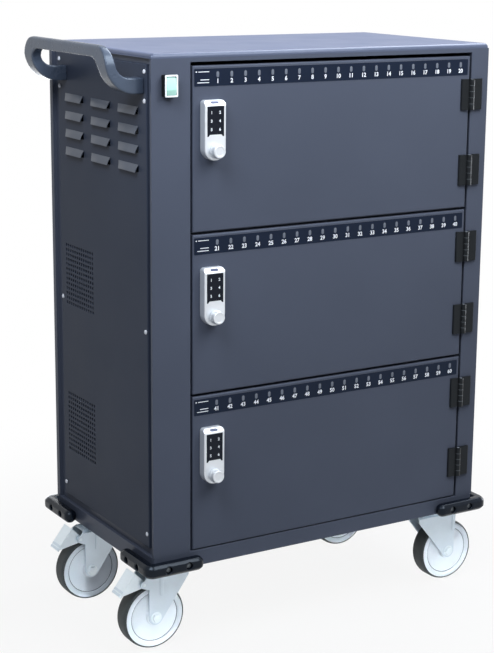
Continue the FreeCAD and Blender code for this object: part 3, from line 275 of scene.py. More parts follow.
# Kind of surface, colour, roughness, and what differs from that kind
finishRows = {
    "bodyPaint": ("powderCoat", (0.076, 0.088, 0.121), 0.3, {"specular": 0.3, "ior": 1.27}),
    # The lid's paint is the body's paint made bluer, glossier and given a blue sheen: a painted reflection of the sky
    # on the lid
    "lidPaint": ("powderCoat", (0.075, 0.09, 0.14), 0.3, {"specular": 0.45, "sheen": 0.5}),
    # The side panels' paint is a darker copy of the body's paint: painted shade on the sides that face away from the
    # light
    "sidePaint": ("powderCoat", (0.043, 0.053, 0.078), 0.38, {"specular": 0.2, "ior": 1.22}),
    # The louvre hoods, pressed from the side panel's sheet, get a lighter paint than it: painted light where the
    # flaps catch it
    "louvrePaint": ("powderCoat", (0.07, 0.082, 0.105), 0.34),
    "innerPaint": ("powderCoat", (0.085, 0.1, 0.135), 0.45),
    "whiteScrew": ("powderCoat", (0.88, 0.89, 0.92), 0.3, {"grain": (2600.0, 1.0, 0.00002, 0.35)}),
    "blackPlastic": ("mouldedPlastic", (0.01, 0.011, 0.012), 0.34,
                     {"grain": (2600.0, 2.0, 0.00002, 0.5), "specular": 0.18}),
    "handlePlastic": ("mouldedPlastic", (0.055, 0.072, 0.105), 0.26,
                      {"grain": (2200.0, 2.0, 0.00001, 0.5), "shades": (0.94, 1.06), "specular": 0.5}),
    "greyPlastic": ("mouldedPlastic", (0.16, 0.17, 0.2), 0.48),
    "blackGloss": ("gloss", (0.006, 0.007, 0.012), 0.12, {"coat": 0.0, "specular": 0.2}),
    "bumperBlack": ("gloss", (0.004, 0.006, 0.011), 0.2, {"coat": 0.05, "specular": 0.2}),
    "labelFilm": ("gloss", (0.008, 0.013, 0.028), 0.3, {"coat": 0.0, "specular": 0.14}),
    "labelBorder": ("gloss", (0.09, 0.1, 0.13), 0.35, {"coat": 0.0, "specular": 0.2}),
    "printWhite": ("gloss", (0.86, 0.88, 0.92), 0.4, {"coat": 0.1}),
    "lampLens": ("gloss", (0.14, 0.155, 0.19), 0.2, {"coat": 0.2}),
    "contactBlue": ("gloss", (0.06, 0.07, 0.14), 0.25, {"coat": 0.2}),
    "rockerGreen": ("gloss", (0.47, 0.8, 0.68), 0.2, {"coat": 0.4}),
    "rockerFrame": ("gloss", (0.88, 0.92, 0.93), 0.25, {"coat": 0.3}),
    "lockMetal": ("castNickel", (0.74, 0.77, 0.8), 0.32),
    "zinc": ("zincPlate", (0.68, 0.77, 0.84), 0.3),
    "pedalZinc": ("zincPlate", (0.84, 0.92, 0.96), 0.36),
    "steel": ("zincPlate", (0.42, 0.46, 0.5), 0.34),
    "darkSteel": ("zincPlate", (0.1, 0.115, 0.13), 0.3),
    "wheelWhite": ("mouldedPlastic", (0.88, 0.93, 0.97), 0.34,
                   {"grain": (1800.0, 2.0, 0.00001, 0.5), "shades": (0.985, 1.015), "specular": 0.4}),
    # The dark ring in the wheel's groove: the seam between core and rim, made dark to stand in for the groove's shade
    # as well
    "wheelLine": ("mouldedPlastic", (0.11, 0.13, 0.16), 0.5),
    "tyreGrey": ("treadRubber", (0.028, 0.034, 0.036), 0.62),
}

shaderSockets = {
    "metallic": "Metallic",
    "specular": "Specular IOR Level",
    "specularTint": "Specular Tint",
    "ior": "IOR",
    "sheen": "Sheen Weight",
    "sheenRoughness": "Sheen Roughness",
    "sheenTint": "Sheen Tint",
    "coat": "Coat Weight",
    "coatRoughness": "Coat Roughness",
}


def noise(tree, vector, scale, detail, roughness=0.5):
    node = tree.nodes.new("ShaderNodeTexNoise")
    for socket, value in (("Scale", scale), ("Detail", detail), ("Roughness", roughness)):
        node.inputs[socket].default_value = value
    tree.links.new(vector, node.inputs["Vector"])
    return node.outputs["Fac"]


def tint(tree, value, first, second):
    # Inputs 6 and 7 and output 2 are the colour ones
    node = tree.nodes.new("ShaderNodeMix")
    node.data_type = "RGBA"
    node.inputs[6].default_value = (*first, 1)
    node.inputs[7].default_value = (*second, 1)
    tree.links.new(value, node.inputs[0])
    return node.outputs[2]


def surface(name, look, colour, roughness, own=None):
    s = {**looks[look], **(own or {})}
    material, tree, out = newMaterial(name)
    shader = tree.nodes.new("ShaderNodeBsdfPrincipled")
    tree.links.new(shader.outputs[0], out.inputs["Surface"])
    shader.inputs["Base Color"].default_value = (*colour, 1)
    shader.inputs["Roughness"].default_value = roughness
    for key, socket in shaderSockets.items():
        if key in s:
            shader.inputs[socket].default_value = (*s[key], 1) if isinstance(s[key], tuple) else s[key]
    vector = objectPoints(tree)
    first, second = (tuple(c * factor for c in colour) for factor in s["shades"])
    tone = tint(tree, spread(tree, noise(tree, vector, *s["tone"]), 0, 1), first, second)
    tree.links.new(tone, shader.inputs["Base Color"])
    low, high = (roughness + change for change in s["drift"])
    dull = spread(tree, noise(tree, vector, *s["dull"]), low, high)
    tree.links.new(dull, shader.inputs["Roughness"])
    if "grain" in s:
        scale, detail, depth, strength = s["grain"]
        bump = tree.nodes.new("ShaderNodeBump")
        bump.inputs["Distance"].default_value = depth
        bump.inputs["Strength"].default_value = strength
        tree.links.new(noise(tree, vector, scale, detail), bump.inputs["Height"])
        tree.links.new(bump.outputs["Normal"], shader.inputs["Normal"])
    return material


finishes = {name: surface(name, *row) for name, row in finishRows.items()}
print("finishes ready:", len(finishes))


def ownFinish(node):
    # A slot such as body_paint has the finish bodyPaint
    first, *rest = slotOf(node).split("_")
    return first + "".join(word.title() for word in rest)


def dressNode(node):
    mesh = frame["nodes"][node].data
    mesh.materials.clear()
    mesh.materials.append(finishes[ownFinish(node)])


def addPiece(name, mesh, finish, body, slot, *replaced):
    piece = newObject(name, mesh)
    mesh.materials.clear()
    mesh.materials.append(finishes[finish])
    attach(piece, body)
    if replaced:
        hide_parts(*replaced)


def addFinish(node, mesh, finish=None):
    # A piece that stands in for one CAD node
    addPiece(node + "_finish", mesh, finish or ownFinish(node), bodyOf(node), slotOf(node), node)


# Making and placing meshes

weldGap = 2e-6
onAxis = 1e-7  # the radius below which a turned form closes to one point
hair = 1e-5  # keeps the two arcs of a round end apart
flatArea = 4e-4  # square metres from which a face is shaded flat


def at(x, y, z):
    # Millimetres from the body's left, front and top
    return Vector((bodyLeft + x / 1000, bodyFront + y / 1000, bodyTop + z / 1000))


def middleOf(node):
    low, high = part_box(node)
    return (low + high) / 2


def smoothByAngle(mesh, degrees=32):
    mesh.shade_smooth()
    work = bmesh.new()
    work.from_mesh(mesh)
    limit = math.radians(degrees)
    for edge in work.edges:
        if len(edge.link_faces) == 2:
            edge.smooth = edge.calc_face_angle(0) < limit
    for face in work.faces:
        face.smooth = face.calc_area() < flatArea
    work.to_mesh(mesh)
    work.free()


def meshFrom(name, build, smooth=None):
    # build fills an empty bmesh; its faces then point outwards
    work = bmesh.new()
    build(work)
    bmesh.ops.remove_doubles(work, verts=work.verts, dist=weldGap / 2)
    bmesh.ops.recalc_face_normals(work, faces=work.faces)
    mesh = bpy.data.meshes.new(name)
    work.to_mesh(mesh)
    work.free()
    if smooth:
        smoothByAngle(mesh, smooth)
    return mesh


def joined(name, meshes):
    work = bmesh.new()
    for mesh in meshes:
        work.from_mesh(mesh)
    result = bpy.data.meshes.new(name)
    work.to_mesh(result)
    work.free()
    return result


def placed(mesh, matrix):
    copy = mesh.copy()
    copy.transform(matrix)
    return copy


def plainMesh(holder):
    # What an object's modifiers or its curve give, as a mesh of its own
    graph = bpy.context.evaluated_depsgraph_get()
    mesh = bpy.data.meshes.new_from_object(holder.evaluated_get(graph))
    bpy.data.objects.remove(holder)
    return mesh


def withModifiers(mesh, *settings):
    holder = newObject("holder", mesh)
    for kind, values in settings:
        modifier = holder.modifiers.new(kind, kind)
        for key, value in values.items():
            setattr(modifier, key, value)
    return plainMesh(holder)


def bevelled(mesh, width, segments=3, angle=30):
    return withModifiers(mesh, ("BEVEL", {"width": width, "segments": segments, "limit_method": "ANGLE",
                                          "angle_limit": math.radians(angle), "harden_normals": False}))


def mergedCopy(node, flatten=True):
    work = bmesh.new()
    work.from_mesh(frame["nodes"][node].data)
    bmesh.ops.remove_doubles(work, verts=work.verts, dist=weldGap)
    if flatten:
        bmesh.ops.dissolve_limit(work, angle_limit=math.radians(0.6), verts=work.verts, edges=work.edges)
    mesh = bpy.data.meshes.new(node + "_form")
    work.to_mesh(mesh)
    work.free()
    return mesh


def softened(node, width=0.0006, segments=2, finish=None, angle=32, degrees=32):
    # A node's own form, joined up and with its edges eased
    mesh = mergedCopy(node, width > 0)
    if width:
        mesh = bevelled(mesh, width, segments, angle)
    smoothByAngle(mesh, degrees)
    addFinish(node, mesh, finish)


def moulded(node, voxel, passes, finish):
    # A node's own form as a soft-edged moulding
    addFinish(node, withModifiers(mergedCopy(node),
                                  ("REMESH", {"mode": "VOXEL", "voxel_size": voxel, "use_smooth_shade": True}),
                                  ("SMOOTH", {"factor": 0.5, "iterations": passes})), finish)


def solidBoxes(node):
    # The box of each separate solid in a node
    work = bmesh.new()
    work.from_mesh(frame["nodes"][node].data)
    bmesh.ops.remove_doubles(work, verts=work.verts, dist=weldGap)
    left = set(work.verts)
    boxes = []
    while left:
        group = [left.pop()]
        for vert in group:
            for edge in vert.link_edges:
                other = edge.other_vert(vert)
                if other in left:
                    left.remove(other)
                    group.append(other)
        boxes.append([Vector([pick(v.co[i] for v in group) for i in range(3)]) for pick in (min, max)])
    work.free()
    return sorted(boxes, key=lambda pair: tuple(round(c, 4) for c in pair[0]))


def eased(points, radius, steps=4):
    # A run of (radius, along) points with its inner corners rounded
    result = [points[0]]
    for before, corner, after in zip(points, points[1:], points[2:]):
        a, c, b = Vector(before), Vector(corner), Vector(after)
        reach = min(radius, (a - c).length / 2, (b - c).length / 2)
        start, end = c + (a - c).normalized() * reach, c + (b - c).normalized() * reach
        for n in range(steps + 1):
            t = n / steps
            result.append(tuple(start.lerp(c, t).lerp(c.lerp(end, t), t)))
    return result + [points[-1]]


def mirrored(side):
    # A closed outline from its half on the + side
    return [(radius, -along) for radius, along in side] + side[::-1]


def bridge(work, loops, closed=False):
    # Faces between each loop of points and the next. A loop of one point makes triangles
    pairs = list(zip(loops, loops[1:])) + ([(loops[-1], loops[0])] if closed else [])
    for first, second in pairs:
        count = max(len(first), len(second))
        for n in range(count):
            m = (n + 1) % count
            corners = [first[n % len(first)], first[m % len(first)], second[m % len(second)], second[n % len(second)]]
            corners = list(dict.fromkeys(corners))
            if len(corners) > 2:
                work.faces.new(corners)


def capped(work, loops):
    # A closed body over loops, with a face at each end
    bridge(work, loops)
    work.faces.new(loops[0][::-1])
    work.faces.new(loops[-1])


def lathe(work, profile, segments=64, closed=False):
    # Spins (radius, along) points about the z axis, in metres
    rings = []
    for radius, along in profile:
        turns = [2 * math.pi * n / segments for n in range(1 if radius < onAxis else segments)]
        rings.append([work.verts.new((radius * math.cos(a), radius * math.sin(a), along)) for a in turns])
    bridge(work, rings, closed)


def aboutY(profile, centre, segments=96, closed=False, smooth=32):
    mesh = meshFrom("turned", lambda work: lathe(work, profile, segments, closed), smooth)
    return placed(mesh, Matrix.Translation(centre) @ Matrix.Rotation(-math.pi / 2, 4, "X"))


def plateOutline(width, height, radius, steps=5):
    # A rounded rectangle round its own middle
    outline = []
    for quarter, (sx, sz) in enumerate(((1, 1), (-1, 1), (-1, -1), (1, -1))):
        for n in range(steps + 1):
            angle = math.pi / 2 * (quarter + n / steps)
            outline.append((sx * (width / 2 - radius) + radius * math.cos(angle),
                            sz * (height / 2 - radius) + radius * math.sin(angle)))
    return outline


def frontLoop(work, outline, middle, depth=0.0, share=1.0):
    # The points of an outline that faces the front, depth ahead of middle
    return [work.verts.new((middle.x + x * share, middle.y - depth, middle.z + z * share)) for x, z in outline]


def facePlate(work, outline, middle, depth):
    # A thin plate that faces the front, its back on the plane of middle
    capped(work, [frontLoop(work, outline, middle), frontLoop(work, outline, middle, depth)])


def faceRing(work, outer, inner, middle, depth):
    # A thin ring that faces the front, between two outlines of as many points
    bridge(work, [frontLoop(work, outer, middle), frontLoop(work, outer, middle, depth),
                  frontLoop(work, inner, middle, depth), frontLoop(work, inner, middle)], closed=True)


printing = {"depth": 0.00006, "curveSteps": 3}


def printedMesh(label, size, middle, weight=0.0):
    # Flat figures that face the front
    curve = bpy.data.curves.new("print", "FONT")
    curve.body = label
    curve.size = size
    curve.align_x = "CENTER"
    curve.align_y = "CENTER"
    curve.resolution_u = printing["curveSteps"]
    curve.extrude = printing["depth"]
    curve.offset = weight
    mesh = plainMesh(newObject("print", curve))
    mesh.transform(Matrix.Translation(middle) @ Matrix.Rotation(math.pi / 2, 4, "X"))
    return mesh


# Geometry Nodes for what repeats: copies of a piece on points, and a grid of copies


def copiesTree(name, extra, pointsFrom):
    # Copies of Piece on the points that pointsFrom gives, as real mesh with one finish
    tree = bpy.data.node_groups.new(name, "GeometryNodeTree")
    for way in ("OUTPUT", "INPUT"):
        tree.interface.new_socket("Geometry", in_out=way, socket_type="NodeSocketGeometry")
    sockets = {}
    for label, kind, value in (("Piece", "Object", None), ("Size", "Float", 1.0), *extra,
                               ("Finish", "Material", None)):
        socket = tree.interface.new_socket(label, in_out="INPUT", socket_type="NodeSocket" + kind)
        if value is not None:
            socket.default_value = value
        sockets[label] = socket.identifier
    given = tree.nodes.new("NodeGroupInput").outputs
    out = tree.nodes.new("NodeGroupOutput")
    piece, copies, real, dress = (tree.nodes.new("GeometryNode" + kind) for kind in
                                  ("ObjectInfo", "InstanceOnPoints", "RealizeInstances", "SetMaterial"))
    for source, target in ((given["Piece"], piece.inputs["Object"]),
                           (pointsFrom(tree, given), copies.inputs["Points"]),
                           (piece.outputs["Geometry"], copies.inputs["Instance"]),
                           (given["Size"], copies.inputs["Scale"]),
                           (copies.outputs[0], real.inputs[0]),
                           (real.outputs[0], dress.inputs["Geometry"]),
                           (given["Finish"], dress.inputs["Material"]),
                           (dress.outputs[0], out.inputs[0])):
        tree.links.new(source, target)
    return tree, sockets


def gridPoints(tree, given):
    grid = tree.nodes.new("GeometryNodeMeshGrid")
    for label, target in (("Columns", "Vertices X"), ("Rows", "Vertices Y"),
                          ("Width", "Size X"), ("Height", "Size Y")):
        tree.links.new(given[label], grid.inputs[target])
    return grid.outputs["Mesh"]


pointsTree = copiesTree("copiesOnPoints", (), lambda tree, given: given["Geometry"])
gridTree = copiesTree("gridOfCells", (("Columns", "Int", 13), ("Rows", "Int", 13),
                                      ("Width", "Float", 0.1), ("Height", "Float", 0.1)), gridPoints)


def runTree(treeAndSockets, host, mesh, finish, **values):
    # The plain mesh that a tree makes of copies of mesh
    tree, sockets = treeAndSockets
    source = newObject("source", mesh)
    holder = newObject("host", host)
    modifier = holder.modifiers.new("nodes", "NODES")
    modifier.node_group = tree
    for label, value in {"Piece": source, "Finish": finishes[finish], **values}.items():
        modifier[sockets[label]] = value
    result = plainMesh(holder)
    bpy.data.objects.remove(source)
    return result


def copiesOn(points, mesh, finish):
    host = bpy.data.meshes.new("points")
    host.from_pydata([tuple(p) for p in points], [], [])
    return runTree(pointsTree, host, mesh, finish)


# Left side panel: a pan with pressed louvres and two round-holed fan vents

leftPanel = {
    "face": 1.5,  # behind the body's left side
    "front": 20.0,
    "back": 386.0,
    "fold": 2.0,
    "foldSteps": ((1, 0), (0.62, 0.08), (0.29, 0.29), (0.08, 0.62), (0, 1)),  # shares in and back
    "rim": 5.4,
    "wall": 1.4,
    "weld": 0.005,  # joins the vents to the sheet round them
    "louvreLength": 78.0,
    "louvreHeight": 13.6,
    "louvreReach": 7.3,
    "louvreSteps": ((0, 0), (0.08, 0.1), (0.2, 0.27), (0.45, 0.58), (0.75, 0.86), (1, 1)),  # down and out
    "louvreTaper": 9.0,
    "louvreEnd": ((1.0, 4.0), (0.85, 1.2)),  # share of the reach, and ahead of the hood's rear
    "louvreWall": 1.1,
    "louvreColumns": (90.5, 202.5, 314.5),
    "louvreRows": (-103.5, -137.7, -171.9, -206.1),
    "ventMiddle": 303.0,
    "ventDrops": (-450.4, -751.5),
    "ventPitch": 9.6,
    "ventHole": 3.15,
    "ventCount": 13,
}


def holedCell(pitch, hole, sides=16):
    # A square of sheet in the x y plane with a round hole
    def build(work):
        outer, inner = [], []
        for n in range(sides):
            angle = 2 * math.pi * (n + 0.5) / sides
            c, s = math.cos(angle), math.sin(angle)
            edge = pitch / 2 / max(abs(c), abs(s))
            outer.append(work.verts.new((edge * c, edge * s, 0)))
            inner.append(work.verts.new((hole * c, hole * s, 0)))
        bridge(work, [outer, inner])
        for corner, (x, y) in enumerate(((1, 1), (-1, 1), (-1, -1), (1, -1))):
            # The square's own corner joins the two points beside it
            n = (2 * corner + 1) * sides // 8 - 1
            tip = work.verts.new((pitch / 2 * x, pitch / 2 * y, 0))
            work.faces.new([outer[n], tip, outer[n + 1]])
    return meshFrom("ventCell", build)


def panelSheet(work):
    s = leftPanel
    fold, front, back = s["fold"], s["front"], s["back"]
    bottom, top = ((corner.z - bodyTop) * 1000 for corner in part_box("left_side_panel"))
    vent, length, height = s["ventPitch"] * s["ventCount"] / 2, s["louvreLength"] / 2, s["louvreHeight"] / 2
    holes = [(s["ventMiddle"] - vent, s["ventMiddle"] + vent, z - vent, z + vent) for z in s["ventDrops"]]
    holes += [(y - length, y + length, z - height, z + height)
              for y in s["louvreColumns"] for z in s["louvreRows"]]
    ys = sorted({front + fold, back - fold} | {y for hole in holes for y in hole[:2]})
    zs = sorted({bottom + fold, top - fold} | {z for hole in holes for z in hole[2:]})
    for y0, y1 in zip(ys, ys[1:]):
        for z0, z1 in zip(zs, zs[1:]):
            my, mz = (y0 + y1) / 2, (z0 + z1) / 2
            if not any(a < my < b and c < mz < d for a, b, c, d in holes):
                corners = ((y0, z0), (y0, z1), (y1, z1), (y1, z0))
                work.faces.new([work.verts.new(at(s["face"], y, z)) for y, z in corners])
    steps = [(fold * inward, fold * behind) for inward, behind in s["foldSteps"]] + [(0, s["rim"])]
    bridge(work, [[work.verts.new(at(s["face"] + depth, y, z)) for y, z in
                   ((front + inset, bottom + inset), (back - inset, bottom + inset),
                    (back - inset, top - inset), (front + inset, top - inset))] for inset, depth in steps])


def louvreHood():
    # Joined to the sheet along its top and rear, open at its front end and below
    s = leftPanel
    length, height, reach = (s[key] / 1000 for key in ("louvreLength", "louvreHeight", "louvreReach"))
    length, taper = length / 2, s["louvreTaper"] / 1000

    def build(work):
        rows = []
        for down, out in s["louvreSteps"]:
            x, z, rear = -reach * out, height / 2 - height * down, length - taper * out
            end = [(x * share, rear - ahead / 1000, z) for share, ahead in s["louvreEnd"]]
            rows.append([work.verts.new(p) for p in ((x, -length, z), (x, 0, z), *end, (0, length, z))])
        for first, second in zip(rows, rows[1:]):
            for n in range(len(first) - 1):
                work.faces.new([first[n], first[n + 1], second[n + 1], second[n]])
    mesh = withModifiers(meshFrom("louvreHood", build),
                         ("SOLIDIFY", {"thickness": s["louvreWall"] / 1000, "offset": 0.0}))
    smoothByAngle(mesh, degrees=40)
    return mesh


def makeLeftPanel():
    s = leftPanel
    node = "left_side_panel"
    span = s["ventPitch"] * (s["ventCount"] - 1) / 1000
    flat = runTree(gridTree, bpy.data.meshes.new("host"), holedCell(s["ventPitch"] / 1000, s["ventHole"] / 1000),
                   "bodyPaint", Columns=s["ventCount"], Rows=s["ventCount"], Width=span, Height=span)
    upright = Matrix(((0, 0, 1, 0), (1, 0, 0, 0), (0, 1, 0, 0), (0, 0, 0, 1)))
    vents = [placed(flat, Matrix.Translation(at(s["face"], s["ventMiddle"], drop)) @ upright)
             for drop in s["ventDrops"]]
    sheet = joined("leftPanelSheet", [meshFrom("sheet", panelSheet)] + vents)
    work = bmesh.new()
    work.from_mesh(sheet)
    bmesh.ops.remove_doubles(work, verts=work.verts, dist=s["weld"] / 1000)
    bmesh.ops.recalc_face_normals(work, faces=work.faces)
    if sum(face.normal.x * face.calc_area() for face in work.faces) > 0:
        bmesh.ops.reverse_faces(work, faces=work.faces)
    work.to_mesh(sheet)
    work.free()
    sheet = withModifiers(sheet, ("SOLIDIFY", {"thickness": s["wall"] / 1000, "offset": -1.0}))
    smoothByAngle(sheet, degrees=24)
    # The panel takes the darker side paint: painted shade
    addFinish(node, sheet, "sidePaint")
    # The hoods take a lighter paint than the panel round them: painted light
    points = [at(s["face"], y, z) for y in s["louvreColumns"] for z in s["louvreRows"]]
    hoods = copiesOn(points, louvreHood(), "louvrePaint")
    addPiece("left_panel_louvres", hoods, "louvrePaint", bodyOf(node), slotOf(node))


# White pan head screws of the side panels

panelScrew = {
    "radius": 0.0042,
    "height": 0.0023,
    "dome": ((1, 0), (1, 0.3), (0.94, 0.6), (0.8, 0.83), (0.6, 0.96)),  # shares of radius and height
    "slotReach": 0.002,
    "slotHalf": 0.00045,
    "slotDepth": 0.0012,
    "slotFloor": 0.8,
    "points": 48,
}


def crossHead():
    # A domed head along +z with a cross recess
    s = panelScrew
    turns = [2 * math.pi * n / s["points"] for n in range(s["points"])]

    def cross(a):
        longer, shorter = sorted((abs(math.cos(a)), abs(math.sin(a))), reverse=True)
        return min(s["slotReach"] / longer, s["slotHalf"] / max(shorter, 1e-6))

    def build(work):
        rings = [([s["radius"] * share] * len(turns), s["height"] * rise) for share, rise in s["dome"]]
        rings += [([cross(a) for a in turns], s["height"]),
                  ([cross(a) * s["slotFloor"] for a in turns], s["height"] - s["slotDepth"])]
        capped(work, [[work.verts.new((r * math.cos(a), r * math.sin(a), z)) for r, a in zip(radii, turns)]
                      for radii, z in rings])
    return meshFrom("crossHead", build, smooth=35)


def makePanelScrews():
    node = "side_panel_screws"
    head = crossHead()
    meshes = []
    for sign in (-1, 1):
        points = []
        for low, high in solidBoxes(node):
            if (low.x > (bodyLeft + bodyRight) / 2) == (sign > 0):
                point = (low + high) / 2
                point.x = (high if sign > 0 else low).x - sign * panelScrew["height"]
                points.append(point)
        meshes.append(copiesOn(points, placed(head, Matrix.Rotation(math.pi / 2 * sign, 4, "Y")), "whiteScrew"))
    addFinish(node, joined("panelScrews", meshes))


makeLeftPanel()
makePanelScrews()
print("left panel, louvres, vents and screws made")


# Number strip on each door: film, border, lamp lenses and plain numbers

strip = {
    "left": 2.0,  # in from the door's left edge
    "right": 5.5,
    "top": 5.0,
    "height": 32.0,
    "corner": 2.5,
    "depth": 0.35,
    "border": 0.45,
    "borderShare": 1 / 6,  # of the film's depth
    "places": 20,
    "firstLens": 133.6,
    "lensPitch": 28.67,
    "lensDrop": 16.0,
    "lensWidth": 5.6,
    "lensHeight": 10.4,
    "lensSteps": ((1, 0), (0.93, 0.12), (0.72, 0.22), (0.4, 0.28)),  # share of the outline, and rise
    "numberDrop": 28.0,
    "numberSize": 10.6,
    "numberWeight": 0.3,
    # Three bars and a dot: middle, drop from the door's top, length, height, corner, and steps round it
    "key": ((105, 11, 22, 1.4, 0.6, 2), (107, 25, 18, 1.4, 0.6, 2), (104, 30, 24, 1.4, 0.6, 2),
            (90, 11, 2.6, 2.6, 1.29, 4)),
}


def makeStrip(level, door):
    s = strip
    low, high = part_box(door)
    left = (low.x - bodyLeft) * 1000 + s["left"]
    right = (high.x - bodyLeft) * 1000 - s["right"]
    doorTop = (high.z - bodyTop) * 1000
    width, height = (right - left) / 1000, s["height"] / 1000
    depth, inset, corner = (s[key] / 1000 for key in ("depth", "border", "corner"))
    body = bodyOf(door)

    def onDoor(x, drop, out=depth):
        # Millimetres from the body's left and down from the door's top, as a place on the film
        place = at(x, 0, doorTop - drop)
        place.y = low.y - out
        return place

    def lensBuild(work):
        outline = plateOutline(s["lensWidth"] / 1000, s["lensHeight"] / 1000, s["lensWidth"] / 2000 - hair, steps=6)
        capped(work, [frontLoop(work, outline, Vector(), rise / 1000, share) for share, rise in s["lensSteps"]])

    def keyBuild(work):
        for x, drop, *barSize, steps in s["key"]:
            outline = plateOutline(*(value / 1000 for value in barSize), steps)
            facePlate(work, outline, onDoor(x, drop), printing["depth"])

    middle = ((left + right) / 2, s["top"] + s["height"] / 2)
    outline = plateOutline(width, height, corner)
    inner = plateOutline(width - 2 * inset, height - 2 * inset, corner - inset)
    film = meshFrom("film", lambda work: facePlate(work, outline, onDoor(*middle, 0), depth), smooth=30)
    addPiece(door + "_strip", film, "labelFilm", body, "black_gloss")
    border = meshFrom("border", lambda work: faceRing(work, outline, inner, onDoor(*middle),
                                                      depth * s["borderShare"]), smooth=30)
    addPiece(door + "_strip_border", border, "labelBorder", body, "black_gloss")
    columns = [s["firstLens"] + n * s["lensPitch"] for n in range(s["places"])]
    lens = meshFrom("lens", lensBuild, smooth=40)
    lenses = copiesOn([onDoor(x, s["lensDrop"]) for x in columns], lens, "lampLens")
    addPiece(door + "_lamp_lenses", lenses, "lampLens", body, "grey_plastic")
    first = levels.index(level) * s["places"] + 1
    numbers = [printedMesh(str(first + n), s["numberSize"] / 1000, onDoor(x, s["numberDrop"]),
                           s["numberWeight"] / 1000) for n, x in enumerate(columns)]
    addPiece(door + "_numbers", joined("numbers", numbers + [meshFrom("key", keyBuild)]), "printWhite", body,
             "white_screw")


for level in levels:
    door = level + "_door_panel"
    softened(door, width=0.0018, segments=4)
    makeStrip(level, door)
print("doors and number strips made")


# Keypad locks

lock = {
    "markSize": 0.0072,
    "markWeight": 0.00022,
    "markRise": 0.002,  # of the middle row over the keypad's middle
    "markColumns": (-0.0085, 0.0085),
    "markRows": (0.0135, -0.0015, -0.0165),
    "contactWidth": 0.0165,
    "contactHeight": 0.006,
    "contactDepth": 0.0002,
    "topBevel": 0.008,
    # Share of the knob's radius, and metres behind its front
    "knobProfile": ((0, 0.0006), (0.6, 0.0006), (0.66, 0), (0.885, 0), (1, 0.006), (1, 0.0142), (0.9, 0.0154),
                    (0, 0.0154)),
    "knobEdge": 0.0016,
}


def makeLock(level):
    s = lock
    body, keypad, knob = (level + "_lock_" + part for part in ("body", "keypad", "knob"))
    softened(body, width=0.0006, segments=3, angle=25)
    softened(keypad, width=0.0003)
    middle = middleOf(keypad)
    middle.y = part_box(keypad)[0].y
    labels = iter("123456")
    marks = [printedMesh(next(labels), s["markSize"], middle + Vector((column, 0, row + s["markRise"])),
                         s["markWeight"]) for row in s["markRows"] for column in s["markColumns"]]
    addPiece(level + "_lock_marks", joined("marks", marks), "printWhite", bodyOf(body), "white_screw")
    low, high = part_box(body)
    slope = Matrix.Translation(((low.x + high.x) / 2, low.y + s["topBevel"] / 2, high.z - s["topBevel"] / 2))
    outline = plateOutline(s["contactWidth"], s["contactHeight"], s["contactHeight"] / 2 - hair, steps=6)
    oval = meshFrom("oval", lambda work: facePlate(work, outline, Vector(), s["contactDepth"]), smooth=30)
    addPiece(level + "_lock_contact", placed(oval, slope @ Matrix.Rotation(-math.pi / 4, 4, "X")), "contactBlue",
             bodyOf(body), "black_gloss")
    low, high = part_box(knob)
    front = middleOf(knob)
    front.y = low.y
    profile = [((high.x - low.x) / 2 * share, behind) for share, behind in s["knobProfile"]]
    addFinish(knob, aboutY(eased(profile, s["knobEdge"], steps=5), front, segments=72, smooth=38))


for level in levels:
    makeLock(level)
print("locks made")


# Mains switch

switch = {
    "frameDepth": 0.9,
    "frameOuter": (25.7, 38.7, 2.2),  # width, height and corner
    "frameInner": (19.5, 32.5, 0.8),
    "rockerWidth": 18.9,
    "rockerHeight": 31.4,
    "rockerEnds": (0.6, 0.4),  # behind the housing's face
    "rockerRidge": -2.2,
    "rockerRoot": 6.0,
    "ridgeShare": 0.7,  # the ridge's place, down from the top
}


def rockerForm(work):
    s = switch
    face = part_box("switch_housing")[0].y
    middle = middleOf("power_rocker")
    half, tall = s["rockerWidth"] / 2000, s["rockerHeight"] / 2000
    ridge = tall - 2 * tall * s["ridgeShare"]
    profile = ((tall, s["rockerRoot"]), (tall, s["rockerEnds"][0]), (ridge, s["rockerRidge"]),
               (-tall, s["rockerEnds"][1]), (-tall, s["rockerRoot"]))
    capped(work, [[work.verts.new((middle.x + side * half, face + y / 1000, middle.z + z)) for z, y in profile]
                  for side in (-1, 1)])


def makeSwitch():
    s = switch
    housing = "switch_housing"
    softened(housing, width=0.0008)
    rocker = bevelled(meshFrom("rocker", rockerForm), width=0.001, segments=4, angle=12)
    smoothByAngle(rocker, degrees=30)
    addFinish("power_rocker", rocker)
    middle = middleOf(housing)
    middle.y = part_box(housing)[0].y
    outer, inner = (plateOutline(*(value / 1000 for value in s[key])) for key in ("frameOuter", "frameInner"))
    ring = bevelled(meshFrom("ring", lambda work: faceRing(work, outer, inner, middle, s["frameDepth"] / 1000)),
                    width=0.0003, segments=2, angle=50)
    smoothByAngle(ring, degrees=35)
    addPiece("switch_front_frame", ring, "rockerFrame", bodyOf(housing), "white_screw")


makeSwitch()
print("switch made")


# Casters

